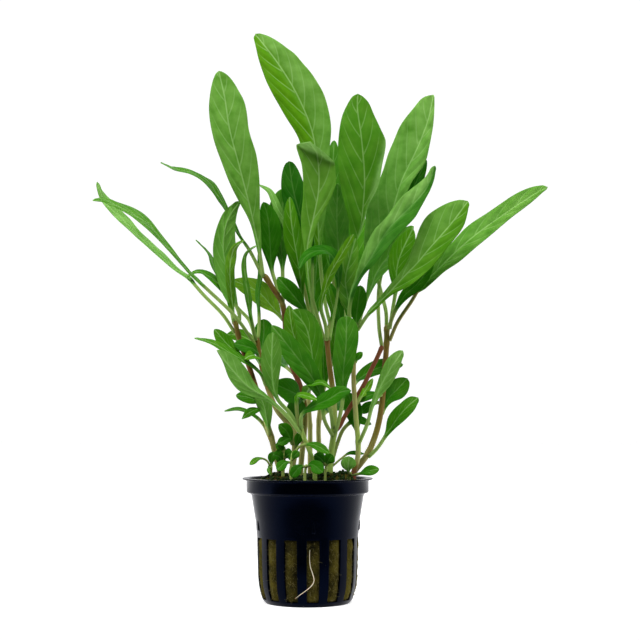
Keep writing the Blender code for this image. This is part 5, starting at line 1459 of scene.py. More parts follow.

# %% [markdown]
# The large leaves are pieces of their own. Rows with `left` and `right` follow those margins.

# %% Large leaves
# Low tones of leaves deep in the plant are partly painted shade; shade, crease, slant, pale and sheen
# values paint light and shade.
LEAVES = {
    "leaf_crown_left": dict(
        stem="stem_red_brown", height=137, width=17, face=((0.2, -1, 0.1), (0.1, -1, 0.2)), fold=9,
        widest=0.67, tone=0.58, shade=0.12, pale=0.5,
        ways=[(-20.3, 146, -1), (-24, 164, -4), (-29.5, 185.2, -6), (-33.4, 200, -6), (-35.6, 214, -4)],
        tip=(-38.2, 225.3, -2),
        left=[(-21, 148), (-23, 156), (-25.2, 161.6), (-29.5, 169.3), (-33.8, 177.5), (-37.1, 186.3),
        (-39.8, 193.4), (-41.2, 198.9), (-42.1, 204.4), (-42.4, 209.9), (-41.7, 216.5), (-40.6, 221.5),
        (-39.5, 224.2)],
        right=[(-19.8, 148), (-20, 156), (-20.3, 161.6), (-20.5, 170.4), (-20.9, 181.3), (-22, 189),
        (-24.1, 195.6), (-25.2, 200), (-26, 206.6), (-27.3, 212.1), (-29.5, 216.5), (-31.7, 220.3),
        (-34.4, 223.4), (-36.8, 225)],
    ),
    "leaf_crown_top": dict(
        stem="stem_behind_right", height=110, width=19.5, face=((-0.2, -1, 0), (0.1, -1, 0.3)), start=0.22,
        fold=10, widest=0.68, tone=0.66, slant=0.02, pale=0.34, sheen=-0.3,
        ways=[(7, 128, 14), (4.6, 155, 14), (4, 180, 11), (2.2, 197.8, 9), (-4.5, 214.8, 8),
        (-12.1, 227.5, 8), (-18, 235.5, 8.6)], tip=(-22.6, 241.2, 10),
        left=[(3.6, 150), (-0.5, 172), (-3.5, 194.5), (-5.6, 198.9), (-8.9, 203.8), (-12.7, 210.4),
        (-15.4, 214.8), (-17.6, 219.2), (-19.2, 223.7), (-21.4, 230.3), (-22.4, 235.3), (-23.3, 239.7)],
        right=[(5.6, 150), (8.6, 172), (9.4, 191.7), (10, 200), (9, 207.7), (6.9, 214.8), (4.1, 219.8),
        (0.9, 224.8), (-2.9, 229.2), (-5.6, 232.2), (-8.9, 234.7), (-13.2, 238.2), (-17, 240.4),
        (-20.3, 241.4)],
    ),
    "leaf_crown_right": dict(
        stem="stem_olive_right", height=109, width=20.5, face=((0.2, -1, 0), (0, -1, 0.2)), start=0.2,
        tone=0.52, pale=0.14, wave=0.12, curl=((31.4, 200.5), (24.8, 170.4), 2.4, -52),
        ways=[(31, 112.2, 2.4), (28.7, 117.5, 1), (25.1, 126.2, -1), (22.4, 140, -4), (23.1, 161.6, -10),
        (24.2, 178, -12), (22.8, 197, -12), (21.2, 209, -10)], tip=(21.3, 215.4, -9),
        left=[(21.2, 134), (19, 150), (17.2, 161.6), (15.5, 167.7), (13.9, 175.3), (12.8, 181.9),
        (12.6, 189.6), (12.9, 195.6), (13.6, 201.1), (14.7, 206), (16.6, 210.4), (18.8, 214),
        (20.2, 215.2)],
        right=[(23.6, 134), (24.4, 150), (25.8, 161.6), (27.2, 168.2), (29.6, 174.2), (31.8, 181.3),
        (33.1, 187.9), (33, 193.4), (31.9, 197.8), (30.2, 202.2), (28.3, 206.3), (25.9, 211.5), (23.7, 214),
        (22.3, 215.2)],
    ),
    "leaf_right_top": dict(
        stem="stem_olive_right", height=115.5, width=18, face=((-0.2, -1, 0), (-0.4, -1, 0.2)), start=0.26,
        tone=0.6, shade=0.6, pale=0.75,
        ways=[(33.2, 122, 9), (31.2, 130, 13), (29.2, 140, 15), (30.4, 150, 15), (34.2, 159.2, 15),
        (36.8, 167.5, 14), (40, 177.9, 13), (46.5, 191.4, 11), (51.4, 204, 10)], tip=(53.8, 215, 10),
        left=[(27.4, 136), (24.6, 146), (24.2, 152), (24.4, 158.1), (24.9, 163.8), (26, 169.6),
        (28.9, 174.7), (32.3, 182.2), (34.6, 189.1), (36.8, 194.8), (39.1, 200), (42, 204.6), (45.4, 209.3),
        (48.8, 213.3), (52, 215)],
        right=[(33.6, 142), (35.6, 152), (38.4, 160), (40.4, 166.7), (42.6, 173), (45.4, 178.6),
        (48.8, 183.4), (50.8, 186.8), (52.2, 192.5), (53.1, 198.3), (53.9, 204.6), (54.3, 209.9),
        (54.2, 214)],
    ),
    "leaf_right_top_behind": dict(
        stem="stem_red_side_shoot", height=108, width=9.5, face=((-0.5, -1, 0), (-0.4, -1, 0.2)),
        start=0.35, fold=12, tone=0.15,
        ways=[(30.2, 116, 8), (30.6, 135, 18), (37, 158, 22), (44.2, 173, 23)], tip=(50.6, 187, 22),
    ),
    "leaf_center_front": dict(
        stem="stem_center", height=110, width=16, face=((0, -1, 0), (0, -1, 0.2)), start=0.16, fold=7,
        widest=0.68, blunt=0.5, tone=0.6, shade=0, pale=0.3, curl=((-5.4, 192.6), (11.6, 184), 1.4, 70),
        ways=[(4.2, 119.6, -7), (0.8, 133, -12), (-0.2, 149, -15), (2.6, 163, -16), (4.6, 174, -17),
        (4.4, 186, -18)], tip=(2, 196.4, -18),
        left=[(-0.6, 140), (-1.6, 150), (-2.6, 156), (-2.9, 161.6), (-2.1, 170.4), (-2.1, 179.2),
        (-2.8, 185.2), (-4.2, 189.6), (-5, 193), (-3.6, 195.6), (0, 196.5)],
        right=[(1.2, 140), (1.6, 150), (3, 156), (5, 161.6), (8.5, 167.7), (10.7, 172.6), (12, 176.4),
        (11.9, 181.3), (11.6, 185.5), (9.6, 190), (6.4, 194), (3.4, 196.2)],
    ),
    "leaf_dark_behind": dict(
        stem="stem_behind_left", height=120.5, width=11, face=((0, -1, 0), (0, -1, 0.2)), start=0.3,
        blunt=0.45, tone=0.1, ways=[(1.8, 130, 6), (1.7, 143, 3), (-2.5, 160, 1), (-6.2, 174, 2)],
        tip=(-8, 186.4, 4),
    ),
    "leaf_mid_green": dict(
        stem="stem_behind_left", height=108, width=9, face=((-0.6, -1, 0), (-0.5, -1, 0.2)), start=0.3,
        fold=9, tone=0.52, pale=0.03,
        ways=[(-1.8, 115, 9), (-2.2, 127, 7), (-3.6, 140, -2), (-6, 154, -6), (-7.2, 163, -8)],
        tip=(-7.7, 171, -8),
    ),
    "leaf_back_rounded": dict(
        stem="stem_red_brown", height=124.5, width=12, face=((0.2, -1, 0), (0.2, -1, 0.2)), start=0.3,
        widest=0.7, blunt=0.45, tone=0.38, pale=0.2,
        ways=[(-10.6, 133, 8), (-10.8, 143, 11), (-11.8, 158, 12)], tip=(-9.6, 174.6, 13),
    ),
    "leaf_dark_red_rib": dict(
        stem="stem_red_brown", height=126.5, width=10.5, face=((0.2, -1, 0), (0.3, -1, 0.3)), start=0.3,
        fold=14, tone=0.3, ways=[(-13, 132.4, 6), (-15.3, 140, 7), (-16, 150, 6), (-17, 162, 4)],
        tip=(-18.9, 168.9, 3),
    ),
    "leaf_dark_center": dict(
        stem="stem_behind_right", height=112, width=10.5, face=((0, -1, 0), (0, -1, 0.2)), start=0.3,
        tone=0.4, pale=0.3, ways=[(15.4, 118, 18), (14.8, 128, 17), (13.8, 140, 14), (12.4, 160, 11)],
        tip=(12.8, 177, 6),
    ),
    "leaf_arching_left": dict(
        stem="stem_red_brown", height=137, width=11, face=((0.9, -0.3, 0.5), (0.2, -0.28, 1)), start=0.18,
        fold=4, pale=0.1, wave=0.04,
        ways=[(-24.7, 148.1, 7), (-30.1, 156.2, 9), (-35.1, 166.3, 10), (-41.5, 175.6, 11),
        (-49.7, 181.4, 10), (-56.5, 183, 9)], tip=(-62.8, 185.8, 7),
        left=[(-30.9, 155.9), (-35.9, 165.9), (-38.3, 168.8), (-40.4, 172.4), (-42.6, 175.1),
        (-44.8, 177.3), (-47.5, 179.1), (-51.3, 180.6), (-54.6, 181.5), (-57.8, 182.2), (-60, 183.1),
        (-61.9, 185.1)],
        right=[(-29.4, 156.6), (-34.3, 167), (-35.6, 169.9), (-37.7, 173.5), (-40.2, 177), (-43.2, 178.9),
        (-46.4, 180.8), (-50.2, 182.5), (-53.5, 183.3), (-57.3, 183.8), (-60, 184.4), (-61.9, 185.5)],
    ),
    "leaf_far_left_green": dict(
        stem="stem_left_behind", height=108.6, width=11, face=((0.6, -0.33, 0.7), (0.2, -0.33, 0.9)),
        start=0.35, fold=4, pale=0.3, wave=0.04,
        ways=[(-31, 120.4, -5), (-42, 131, -5), (-50.2, 138.7, -6), (-57, 147, -8), (-62.2, 152.8, -9),
        (-66.6, 158.2, -10), (-72.4, 162.4, -11), (-80, 166.6, -11), (-85.6, 169, -11)],
        tip=(-91.6, 169.6, -11),
        left=[(-46, 133.8), (-50.8, 138.4), (-54.6, 142.4), (-57.6, 146), (-61.4, 150), (-63.8, 152.4),
        (-68, 156.2), (-72.2, 160), (-74.8, 162.2), (-77.6, 163.9), (-79.7, 165), (-82.2, 166.3),
        (-85, 167.7), (-87.7, 169)],
        right=[(-45.2, 134.6), (-49.6, 139), (-52.4, 142.1), (-56.5, 147.5), (-60.9, 153), (-64.1, 157.3),
        (-66.8, 160.6), (-70.1, 163.5), (-73, 165.4), (-76.8, 167.2), (-81.2, 168.7), (-84.4, 170),
        (-87.7, 170.4)],
    ),
    "leaf_far_left_pale": dict(
        stem="stem_left", height=113, width=10, face=((0.6, -0.33, 0.7), (0.6, -0.35, 0.6)), start=0.3,
        fold=4, tone=0.55, pale=0.9, wave=0.04,
        ways=[(-36, 120.8, 3), (-44, 129, 5), (-50.5, 136.1, 7), (-56.7, 140.6, 9), (-62.7, 145.9, 10),
        (-69.8, 152.2, 12), (-75.7, 158.4, 13), (-82.2, 164.4, 13), (-87.1, 169.9, 13)],
        tip=(-89.8, 177.5, 12),
        left=[(-46.6, 131.4), (-51.3, 136), (-55.6, 138.8), (-60, 142.1), (-64.3, 145.9), (-68.7, 150),
        (-73, 153.5), (-77.4, 157.6), (-81.2, 161.1), (-84.4, 164.4), (-87.1, 167.7), (-89, 171),
        (-89.9, 174.3)],
        right=[(-45.8, 132), (-49.7, 136.8), (-52.4, 138.5), (-55.6, 141), (-57.8, 143.4), (-61.1, 146.8),
        (-64.3, 149.4), (-67.6, 152.6), (-70.8, 155.6), (-73.6, 158.8), (-75.7, 161.3), (-77.9, 163.3),
        (-81.2, 166.8), (-85, 170.8), (-86.6, 172.5), (-88.5, 175)],
    ),
    "leaf_left_broad": dict(
        stem="stem_left", height=117.4, width=11.5, face=((0.3, 1, 0.1), (0.3, 1, 0.4)), start=0.14,
        pale=0.3, wave=0.08,
        ways=[(-28.9, 120.4, 0.5), (-31.2, 127, 1), (-33.6, 137, 2), (-35.8, 150, 1), (-34, 161, -1)],
        tip=(-28.9, 169.2, -2),
        left=[(-30, 121), (-34.8, 127), (-39, 136), (-40.3, 144), (-40.5, 150), (-39.5, 156), (-38, 160.5),
        (-35.6, 165), (-31.4, 168.6)],
        right=[(-29, 121), (-30.6, 130), (-31.2, 140), (-30.8, 150), (-31, 155), (-30.5, 162),
        (-29.4, 167)],
    ),
    "leaf_left_slim": dict(
        stem="stem_left", height=118, width=8, face=((0.7, -0.8, 0), (0.5, -0.8, 0.3)), start=0.08, fold=5,
        tone=0.74, pale=0.16, wave=0.05,
        ways=[(-31.9, 123.1, -2), (-32.8, 132.3, -6), (-33.2, 140.5, -9), (-32.4, 145.9, -9),
        (-31, 149.6, -10)], tip=(-26.8, 152.4, -10),
        left=[(-32.5, 123.1), (-34.5, 131.2), (-35.1, 136.7), (-35.1, 142.1), (-34.5, 145.9),
        (-32.8, 149.2), (-30.7, 151.3), (-28.8, 152.3)],
        right=[(-31.3, 125.8), (-31.3, 133.9), (-31.2, 140.5), (-30.4, 144.8), (-30.1, 148.4),
        (-28.8, 150.9), (-27.6, 151.9)],
    ),
    "leaf_left_edge_on": dict(
        stem="stem_left_behind", height=110.5, width=7, face=((1, -0.2, 0.6), (0.6, -0.18, 1)), start=0.3,
        fold=3, pale=0.1, wave=0.03,
        ways=[(-25, 118.7, 11), (-29.6, 123.6, 13), (-33.9, 129.6, 16), (-37.2, 135, 18),
        (-39.6, 139.9, 18), (-41.6, 146, 19)], tip=(-47.6, 152.7, 19),
    ),
    "leaf_left_hooked": dict(
        stem="stem_left", height=117.4, width=9, face=((0.6, -0.4, 0.6), (0, -0.35, 1)), fold=4, tone=0.46,
        pale=0, wave=0.04,
        ways=[(-33.9, 128.5, 5), (-36.6, 132.3, 7), (-39.9, 135.8, 8), (-43.2, 137.8, 8), (-46.1, 139.1, 7),
        (-48.9, 138.6, 5.4)], tip=(-51.6, 136.6, 4),
        left=[(-33.2, 123.1), (-34.7, 127.4), (-37.4, 131), (-40.1, 133.7), (-42.8, 136.2), (-45, 137.8),
        (-47.2, 138.3), (-49.9, 137.3)],
        right=[(-32.2, 125.8), (-33.2, 129.6), (-35.5, 133), (-38.2, 136.4), (-41.4, 138.7), (-45.3, 140),
        (-48.2, 139.6), (-50.8, 137.8)],
    ),
    "leaf_slim_curled_tip": dict(
        stem="stem_left_behind", height=110.5, width=8.5, face=((1, -0.6, 0), (0.6, -0.4, 0.4)), fold=4,
        pale=0.2, wave=0.03,
        ways=[(-24.6, 122, -3), (-25.6, 130, -5), (-26.8, 138, -6), (-27.2, 143, -6), (-26.4, 147, -6)],
        tip=(-21.4, 150.4, -5),
        left=[(-24.9, 121), (-26.9, 128.5), (-27.9, 136.7), (-28.3, 142.1), (-27.6, 145.4), (-25.8, 148.1),
        (-23.6, 149.8)],
        right=[(-24.1, 122), (-23.7, 126.5), (-24.7, 132.3), (-25.8, 137.7), (-26.2, 142.1), (-26, 145.5),
        (-24.7, 147.9), (-22.9, 149.2)],
    ),
    "leaf_slim_inner": dict(
        stem="stem_left_behind", height=110.5, width=8, face=((-1, -0.35, 0), (-1, -0.4, 0.2)), start=0.25,
        fold=10, tone=0.4, pale=0.1, ways=[(-20.6, 118, 7), (-20.9, 130, 8), (-19.6, 138.4, 7)],
        tip=(-20.6, 148.6, 6),
    ),
    "leaf_right_folded": dict(
        stem="stem_pale_right", height=114.5, width=12, face=((-0.5, -1, 0.2), (-0.5, -1, 0.3)), fold=20,
        tone=0.4, slant=0.16, pale=0.5, sheen=0.35, crease=0.1,
        ways=[(17.6, 121, -10), (19.2, 131.8, -13), (23.2, 139.4, -15), (27.4, 146, -16),
        (31.1, 152.4, -16), (35.1, 158.1, -17), (43.7, 166.7, -17), (47.7, 170.9, -17), (51.1, 175.5, -16)],
        tip=(54.3, 184.4, -14),
        left=[(18.2, 129), (20.8, 138.1), (23.6, 146.7), (26.6, 152.9), (29, 156.9), (32.7, 160.9),
        (36.6, 166.1), (40.6, 170.7), (44.1, 173.8), (47.5, 176.7), (50.2, 179.2), (52, 182)],
        right=[(19.4, 129), (24.3, 138.1), (28.5, 141.5), (33.1, 146.1), (37, 150.7), (40, 154.1),
        (43.5, 157.5), (46.5, 160.9), (48.3, 165), (50.5, 169.6), (52.6, 173.6), (54.2, 178.2),
        (54.6, 182.2)],
    ),
    "leaf_right_underside": dict(
        stem="stem_pale_right", height=114.5, width=10.5, face=((-0.5, 1, 0.3), (-0.5, 1, 0.5)), start=0.25,
        tone=0.42, pale=0.1, ways=[(22.8, 121.4, 3), (25.4, 129, 5), (29.4, 139.6, 8), (37.4, 149.6, 11)],
        tip=(45, 158.6, 13),
    ),
    "leaf_back_right": dict(
        stem="stem_olive_right", height=115.5, width=10, face=((0.3, -1, 0), (0.3, -1, 0.3)), start=0.3,
        tone=0.55, ways=[(35.8, 121.6, 7), (37.3, 131, 7), (38.3, 143, 8)], tip=(44.6, 157.6, 10),
    ),
    "leaf_right_broad": dict(
        stem="stem_pale_right", height=114.5, width=15, face=((-0.4, -1, 0.4), (-0.4, -1, 0.5)), start=0.12,
        fold=6, blunt=0.45, tone=0.58, shade=0.1, pale=0.3, sheen=0.18,
        ways=[(25.5, 120.8, -6), (35.1, 130.7, -10), (40.8, 136.9, -12), (46.5, 142.7, -13),
        (51.7, 148.9, -14), (56.8, 154.6, -15), (61.9, 160.6, -15)], tip=(68.3, 169.2, -15),
        left=[(25.6, 122.5), (33.4, 131.3), (36.8, 135.8), (40.8, 140.9), (43.7, 146.1), (46, 152.4),
        (47.7, 157.5), (50.5, 161.8), (54.5, 165.2), (59.1, 168.1), (63.1, 169.5), (66.4, 170)],
        right=[(27, 121), (36, 129.6), (40.8, 131.6), (44.8, 133.5), (50, 138.1), (54.5, 142.7),
        (57.9, 146.7), (61.4, 151.2), (64.8, 155.8), (66.8, 159.2), (68.2, 163.8), (68.8, 167.3)],
    ),
    "leaf_right_long": dict(
        stem="stem_olive_right", height=110, width=11.5, face=((-0.4, -0.8, 0.5), (-0.3, -0.9, 0.6)),
        start=0.25, fold=6, tone=0.56, pale=0.45, red=0.6, wave=0.08,
        ways=[(38, 117.5, 3), (44, 126.5, 3), (47.8, 132.6, 3), (54.5, 139.2, 3), (61.4, 146.1, 3),
        (68.2, 152.2, 3), (75, 157.5, 3), (82.4, 162.7, 3), (89.8, 167.8, 2), (96.7, 172.2, 2)],
        tip=(102.2, 175.2, 2),
        left=[(44, 128.4), (47.2, 134), (52.2, 140.9), (57.9, 147.2), (63.4, 153.6), (66.3, 156.8),
        (69.3, 159.2), (75, 162.9), (80.7, 167), (86.4, 170.7), (92.1, 173.9), (96.7, 175.6), (100.1, 176)],
        right=[(44.9, 127), (50, 131.8), (54.5, 135.8), (57.9, 138.7), (63.6, 142.4), (69.3, 147.2),
        (75, 151.8), (80.7, 156.9), (86.4, 161.5), (92.1, 166.1), (97.8, 170.7), (101, 173.6)],
    ),
    "leaf_bright_slim": dict(
        stem="stem_center", height=110, width=4.6, face=((0.4, -1, 0), (0.4, -1, 0.2)), start=0.12, fold=6,
        tone=0.68, wave=0.05,
        ways=[(7.6, 116, -10), (5.4, 124.5, -14), (7, 131.4, -18), (9.4, 138, -21), (11.8, 142.4, -23),
        (15, 147.6, -24)], tip=(19.4, 155.2, -25),
        left=[(4.9, 123.9), (6.1, 132), (7.8, 139.1), (10.5, 143.4), (13.7, 148.9), (16.5, 153.2),
        (18.4, 154.8)],
        right=[(5.8, 123.9), (7.8, 130.4), (10.5, 135.8), (12.7, 140.2), (15.4, 144.5), (17.5, 148.9),
        (19.3, 152.4)],
    ),
    "leaf_light_center": dict(
        stem="stem_behind_right", height=111, width=9, face=((0, -1, 0), (0, -1, 0.2)), tone=0.66,
        pale=0.25, crease=0.2, ways=[(17.4, 119, 8.5), (17, 128, 1), (16, 136, -7), (18.2, 145.6, -11)],
        tip=(20.4, 153.4, -12),
    ),
    "leaf_arching_center": dict(
        stem="stem_center", height=109.5, width=7.5, face=((0.9, -1, 0.4), (-0.6, -0.8, 0.7)), start=0.35,
        fold=5, petiole=0.5, tone=0.22, red=0, wave=0.04,
        ways=[(10.8, 119, -6), (12.8, 131, -10), (12.4, 141.6, -17), (8.4, 147.6, -22), (3.4, 147.8, -26),
        (-1, 145.2, -28)], tip=(-3.8, 140, -28),
    ),
    "leaf_left_bright_back": dict(
        stem="stem_red_brown", height=119, width=11.5, face=((0.3, -0.9, 0.5), (0, -0.9, 0.6)), start=0.06,
        tone=0.85, shade=0, pale=0.12, ways=[(-15, 124, 13), (-21, 130.4, 16)], tip=(-31.8, 135.4, 17),
    ),
    "leaf_dark_left_center": dict(
        stem="stem_behind_left", height=119, width=7.6, face=((-0.4, -1, 0.3), (-0.4, -1, 0.5)), start=0.2,
        fold=10, tone=0.32, ways=[(-1.6, 123.4, 3), (-5.4, 128.2, 1), (-9, 132.4, 0)],
        tip=(-12.8, 136.8, 1),
    ),
    "leaf_front_big": dict(
        stem="stem_center", height=73, width=12.8, face=((0, -1, 0.1), (-0.1, -1, 0.4)), start=0.25,
        tone=0.48, pale=0.1,
        ways=[(9.4, 81, -12), (5.2, 89, -14), (2.6, 99, -15), (1.2, 108, -15), (-1, 116, -14)],
        tip=(-6.6, 122.8, -12),
        left=[(7, 84), (2, 96), (-1.5, 102), (-3.5, 107), (-4.5, 112), (-5.6, 118), (-6.8, 122)],
        right=[(8, 84), (6, 95), (6, 102), (6.6, 107), (6.5, 111), (5.5, 115), (3, 120), (0, 122.6),
        (-4, 123.2)],
    ),
    "leaf_front_left_long": dict(
        stem="stem_center", height=70, width=9.5, face=((-0.5, -1, 0.4), (-0.5, -1, 0.5)), start=0.2,
        fold=10, tone=0.38, pale=0.12,
        ways=[(7, 76.5, -15), (5.8, 86, -18.5), (1, 95.6, -20), (-5, 103.4, -20), (-10.4, 110.4, -19)],
        tip=(-15.4, 116.3, -18),
    ),
    "leaf_front_pale": dict(
        stem="stem_short_front", height=73.4, width=9.2, face=((0, 1, 0), (0, 1, 0.2)), start=0.25, fold=6,
        pale=0.25, ways=[(-7.4, 79, -18), (-13, 85.6, -22), (-15.2, 98, -26)], tip=(-14.8, 113.4, -27),
        left=[(-13.6, 86), (-16.6, 89.4), (-18.6, 94), (-19.6, 98), (-19.8, 103), (-19, 108), (-17, 112)],
        right=[(-13, 86.4), (-12.7, 90), (-12, 95), (-11.2, 100), (-11, 105), (-11.8, 109), (-13.2, 112.4)],
    ),
    "leaf_left_speckled": dict(
        stem="stem_short_front", height=71, width=9.8, face=((0.4, 1, -0.5), (0.4, 1, -0.3)), start=0.25,
        fold=6, tone=0.48, pale=0.45,
        ways=[(-9, 78.2, -21), (-16, 84.6, -25), (-25, 90.2, -27), (-32, 97.6, -26)],
        tip=(-38.5, 105.8, -24),
        left=[(-17.2, 84.2), (-25, 86.6), (-29, 88.5), (-31, 90.5), (-33.5, 94), (-36, 101), (-38, 104.6)],
        right=[(-17, 86), (-22.5, 92), (-25, 96.5), (-28, 100.5), (-31, 103.5), (-35, 105.5),
        (-37.6, 106.2)],
    ),
    "leaf_left_long_arch": dict(
        stem="stem_left_behind", height=91, width=7, face=((0.4, -0.7, 0.8), (0.1, -0.4, 1)), start=0.08,
        fold=10, pale=0.1, ways=[(-20, 96, -3), (-26, 100.6, -7), (-33, 104.6, -9), (-41, 109, -10)],
        tip=(-48, 110.9, -9),
    ),
    "leaf_dark_round_low": dict(
        stem="stem_red_brown", height=83.5, width=11, face=((0, -1, 0.4), (0, -1, 0.5)), start=0.08,
        blunt=0.5, tone=0.3, ways=[(-4.4, 86.8, -7), (-8.6, 89, -11)], tip=(-14.2, 91.4, -13),
    ),
    "leaf_front_dark_wide": dict(
        stem="stem_short_front", height=73, width=7.8, face=((-0.2, -1, 0.6), (0, -1, 0.6)), start=0.2,
        fold=10, tone=0.34, ways=[(-2.6, 78.4, -19), (2, 81.8, -23), (9, 85, -26), (14, 88, -27)],
        tip=(18.4, 88.6, -27),
    ),
    "leaf_front_broad": dict(
        stem="stem_center", height=71.5, width=11.4, face=((0.1, -1, 0), (0.1, -1, 0.3)), start=0.3,
        widest=0.56, tone=0.37, pale=0.12, wave=0.06,
        ways=[(13.6, 78, -13), (14.9, 86, -17), (15, 96, -20), (16.2, 108, -21)], tip=(16.4, 120.3, -19),
        left=[(13.2, 80), (12, 90), (10.6, 99), (10.8, 105), (11.6, 112), (12.4, 117.5), (14, 119.8)],
        right=[(14.4, 80), (16.8, 92), (19, 98), (20.6, 105), (21.5, 110), (21.1, 115.6), (19, 119.2),
        (17.4, 120.2)],
    ),
    "leaf_right_pale": dict(
        stem="stem_pale_right", height=67.5, width=8.4, face=((-0.3, 1, -0.1), (-0.3, 1, 0.1)), start=0.2,
        fold=6, pale=0.5, ways=[(25.3, 75, -13), (27.2, 82, -17), (31, 91, -20), (35.6, 99, -21)],
        tip=(40.3, 105.6, -20),
        left=[(26.6, 82), (29, 90), (31, 96.6), (33, 101), (35, 103.4), (37.4, 105.2), (39, 105.8)],
        right=[(27.2, 81.4), (31, 86.6), (34.4, 89.8), (37.4, 94.4), (39.2, 98.6), (40.2, 102.5)],
    ),
    "leaf_right_dark_behind": dict(
        stem="stem_pale_right", height=91, width=8.6, face=((-0.4, -1, 0.6), (-0.2, -1, 0.6)), start=0.05,
        fold=9, tone=0.38, ways=[(21.6, 93.4, 3), (26, 96.4, 8), (32, 98.8, 12)], tip=(40.4, 99.7, 14),
    ),
    "leaf_right_dark_round": dict(
        stem="stem_olive_right", height=79, width=10.5, face=((-0.4, -1, 0.4), (-0.4, -1, 0.5)), start=0.08,
        blunt=0.5, tone=0.36, ways=[(34, 85, 11), (38, 89.2, 13)], tip=(42.2, 93.8, 14),
    ),
    "leaf_right_spoon": dict(
        stem="stem_olive_right", height=60.5, width=8.2, face=((-0.5, -1, 0.4), (-0.5, -1, 0.5)),
        start=0.32, fold=6, blunt=0.5, tone=0.42,
        ways=[(29.4, 64.4, 0), (33.2, 70, -2), (38.4, 77.6, -4), (42.6, 82.2, -4)], tip=(46.8, 85.6, -3),
        left=[(33, 72.4), (33.8, 77), (36.4, 80.6), (39.2, 83), (41.4, 85), (43.6, 86.2), (45.8, 86.3)],
        right=[(33.4, 69.4), (37.2, 72.8), (40.4, 75.3), (43.4, 78.3), (45.6, 81), (46.6, 83.6)],
    ),
}

COLUMNS = 16
ROW_STEP = 1.15
STALK_REDNESS = 0.2
for name, spec in LEAVES.items():
    stem = spec["stem"]
    reddened = {"red": REDNESS[stem][-1][1] * STALK_REDNESS, **spec}
    skin = leaf_skin(reddened, lines[stem], STEMS[stem]["top_radius"], COLUMNS, ROW_STEP)
    grown(f"{name}_skin", [skin], [leaf], stands_for=[name])
print("large leaves:", len(LEAVES))

# %% [markdown]
# Six young sprouts stand around the foot of the stems. Each is a thin shoot with a few small leaves.

# %% Base sprouts
SPROUTS = {
    "sprout_left": (0.6, [(-15.4, 54, -8), (-15.2, 57.4, -8.6)]),
    "sprout_front_left": (0.7, [(-7, 53, -16), (-6.9, 58, -17), (-6.4, 62.6, -17)]),
    "sprout_dark": (0.8, [(-10.4, 54, -9), (-10, 59, -10), (-9.8, 65, -11)]),
    "sprout_front_center": (0.7, [(-1.2, 53, -19), (-0.6, 57.6, -20)]),
    "sprout_round": (0.6, [(7.4, 53, -16), (7.8, 58, -17)]),
    "sprout_right": (0.7, [(17.4, 52, -12), (18.3, 54.2, -14)]),
}
SPROUT_REDNESS = [(54, 0.08)]
SPROUT_STEP = 0.6
SPROUT_TAPER = 0.8
SPROUT_SINKS = 0.5

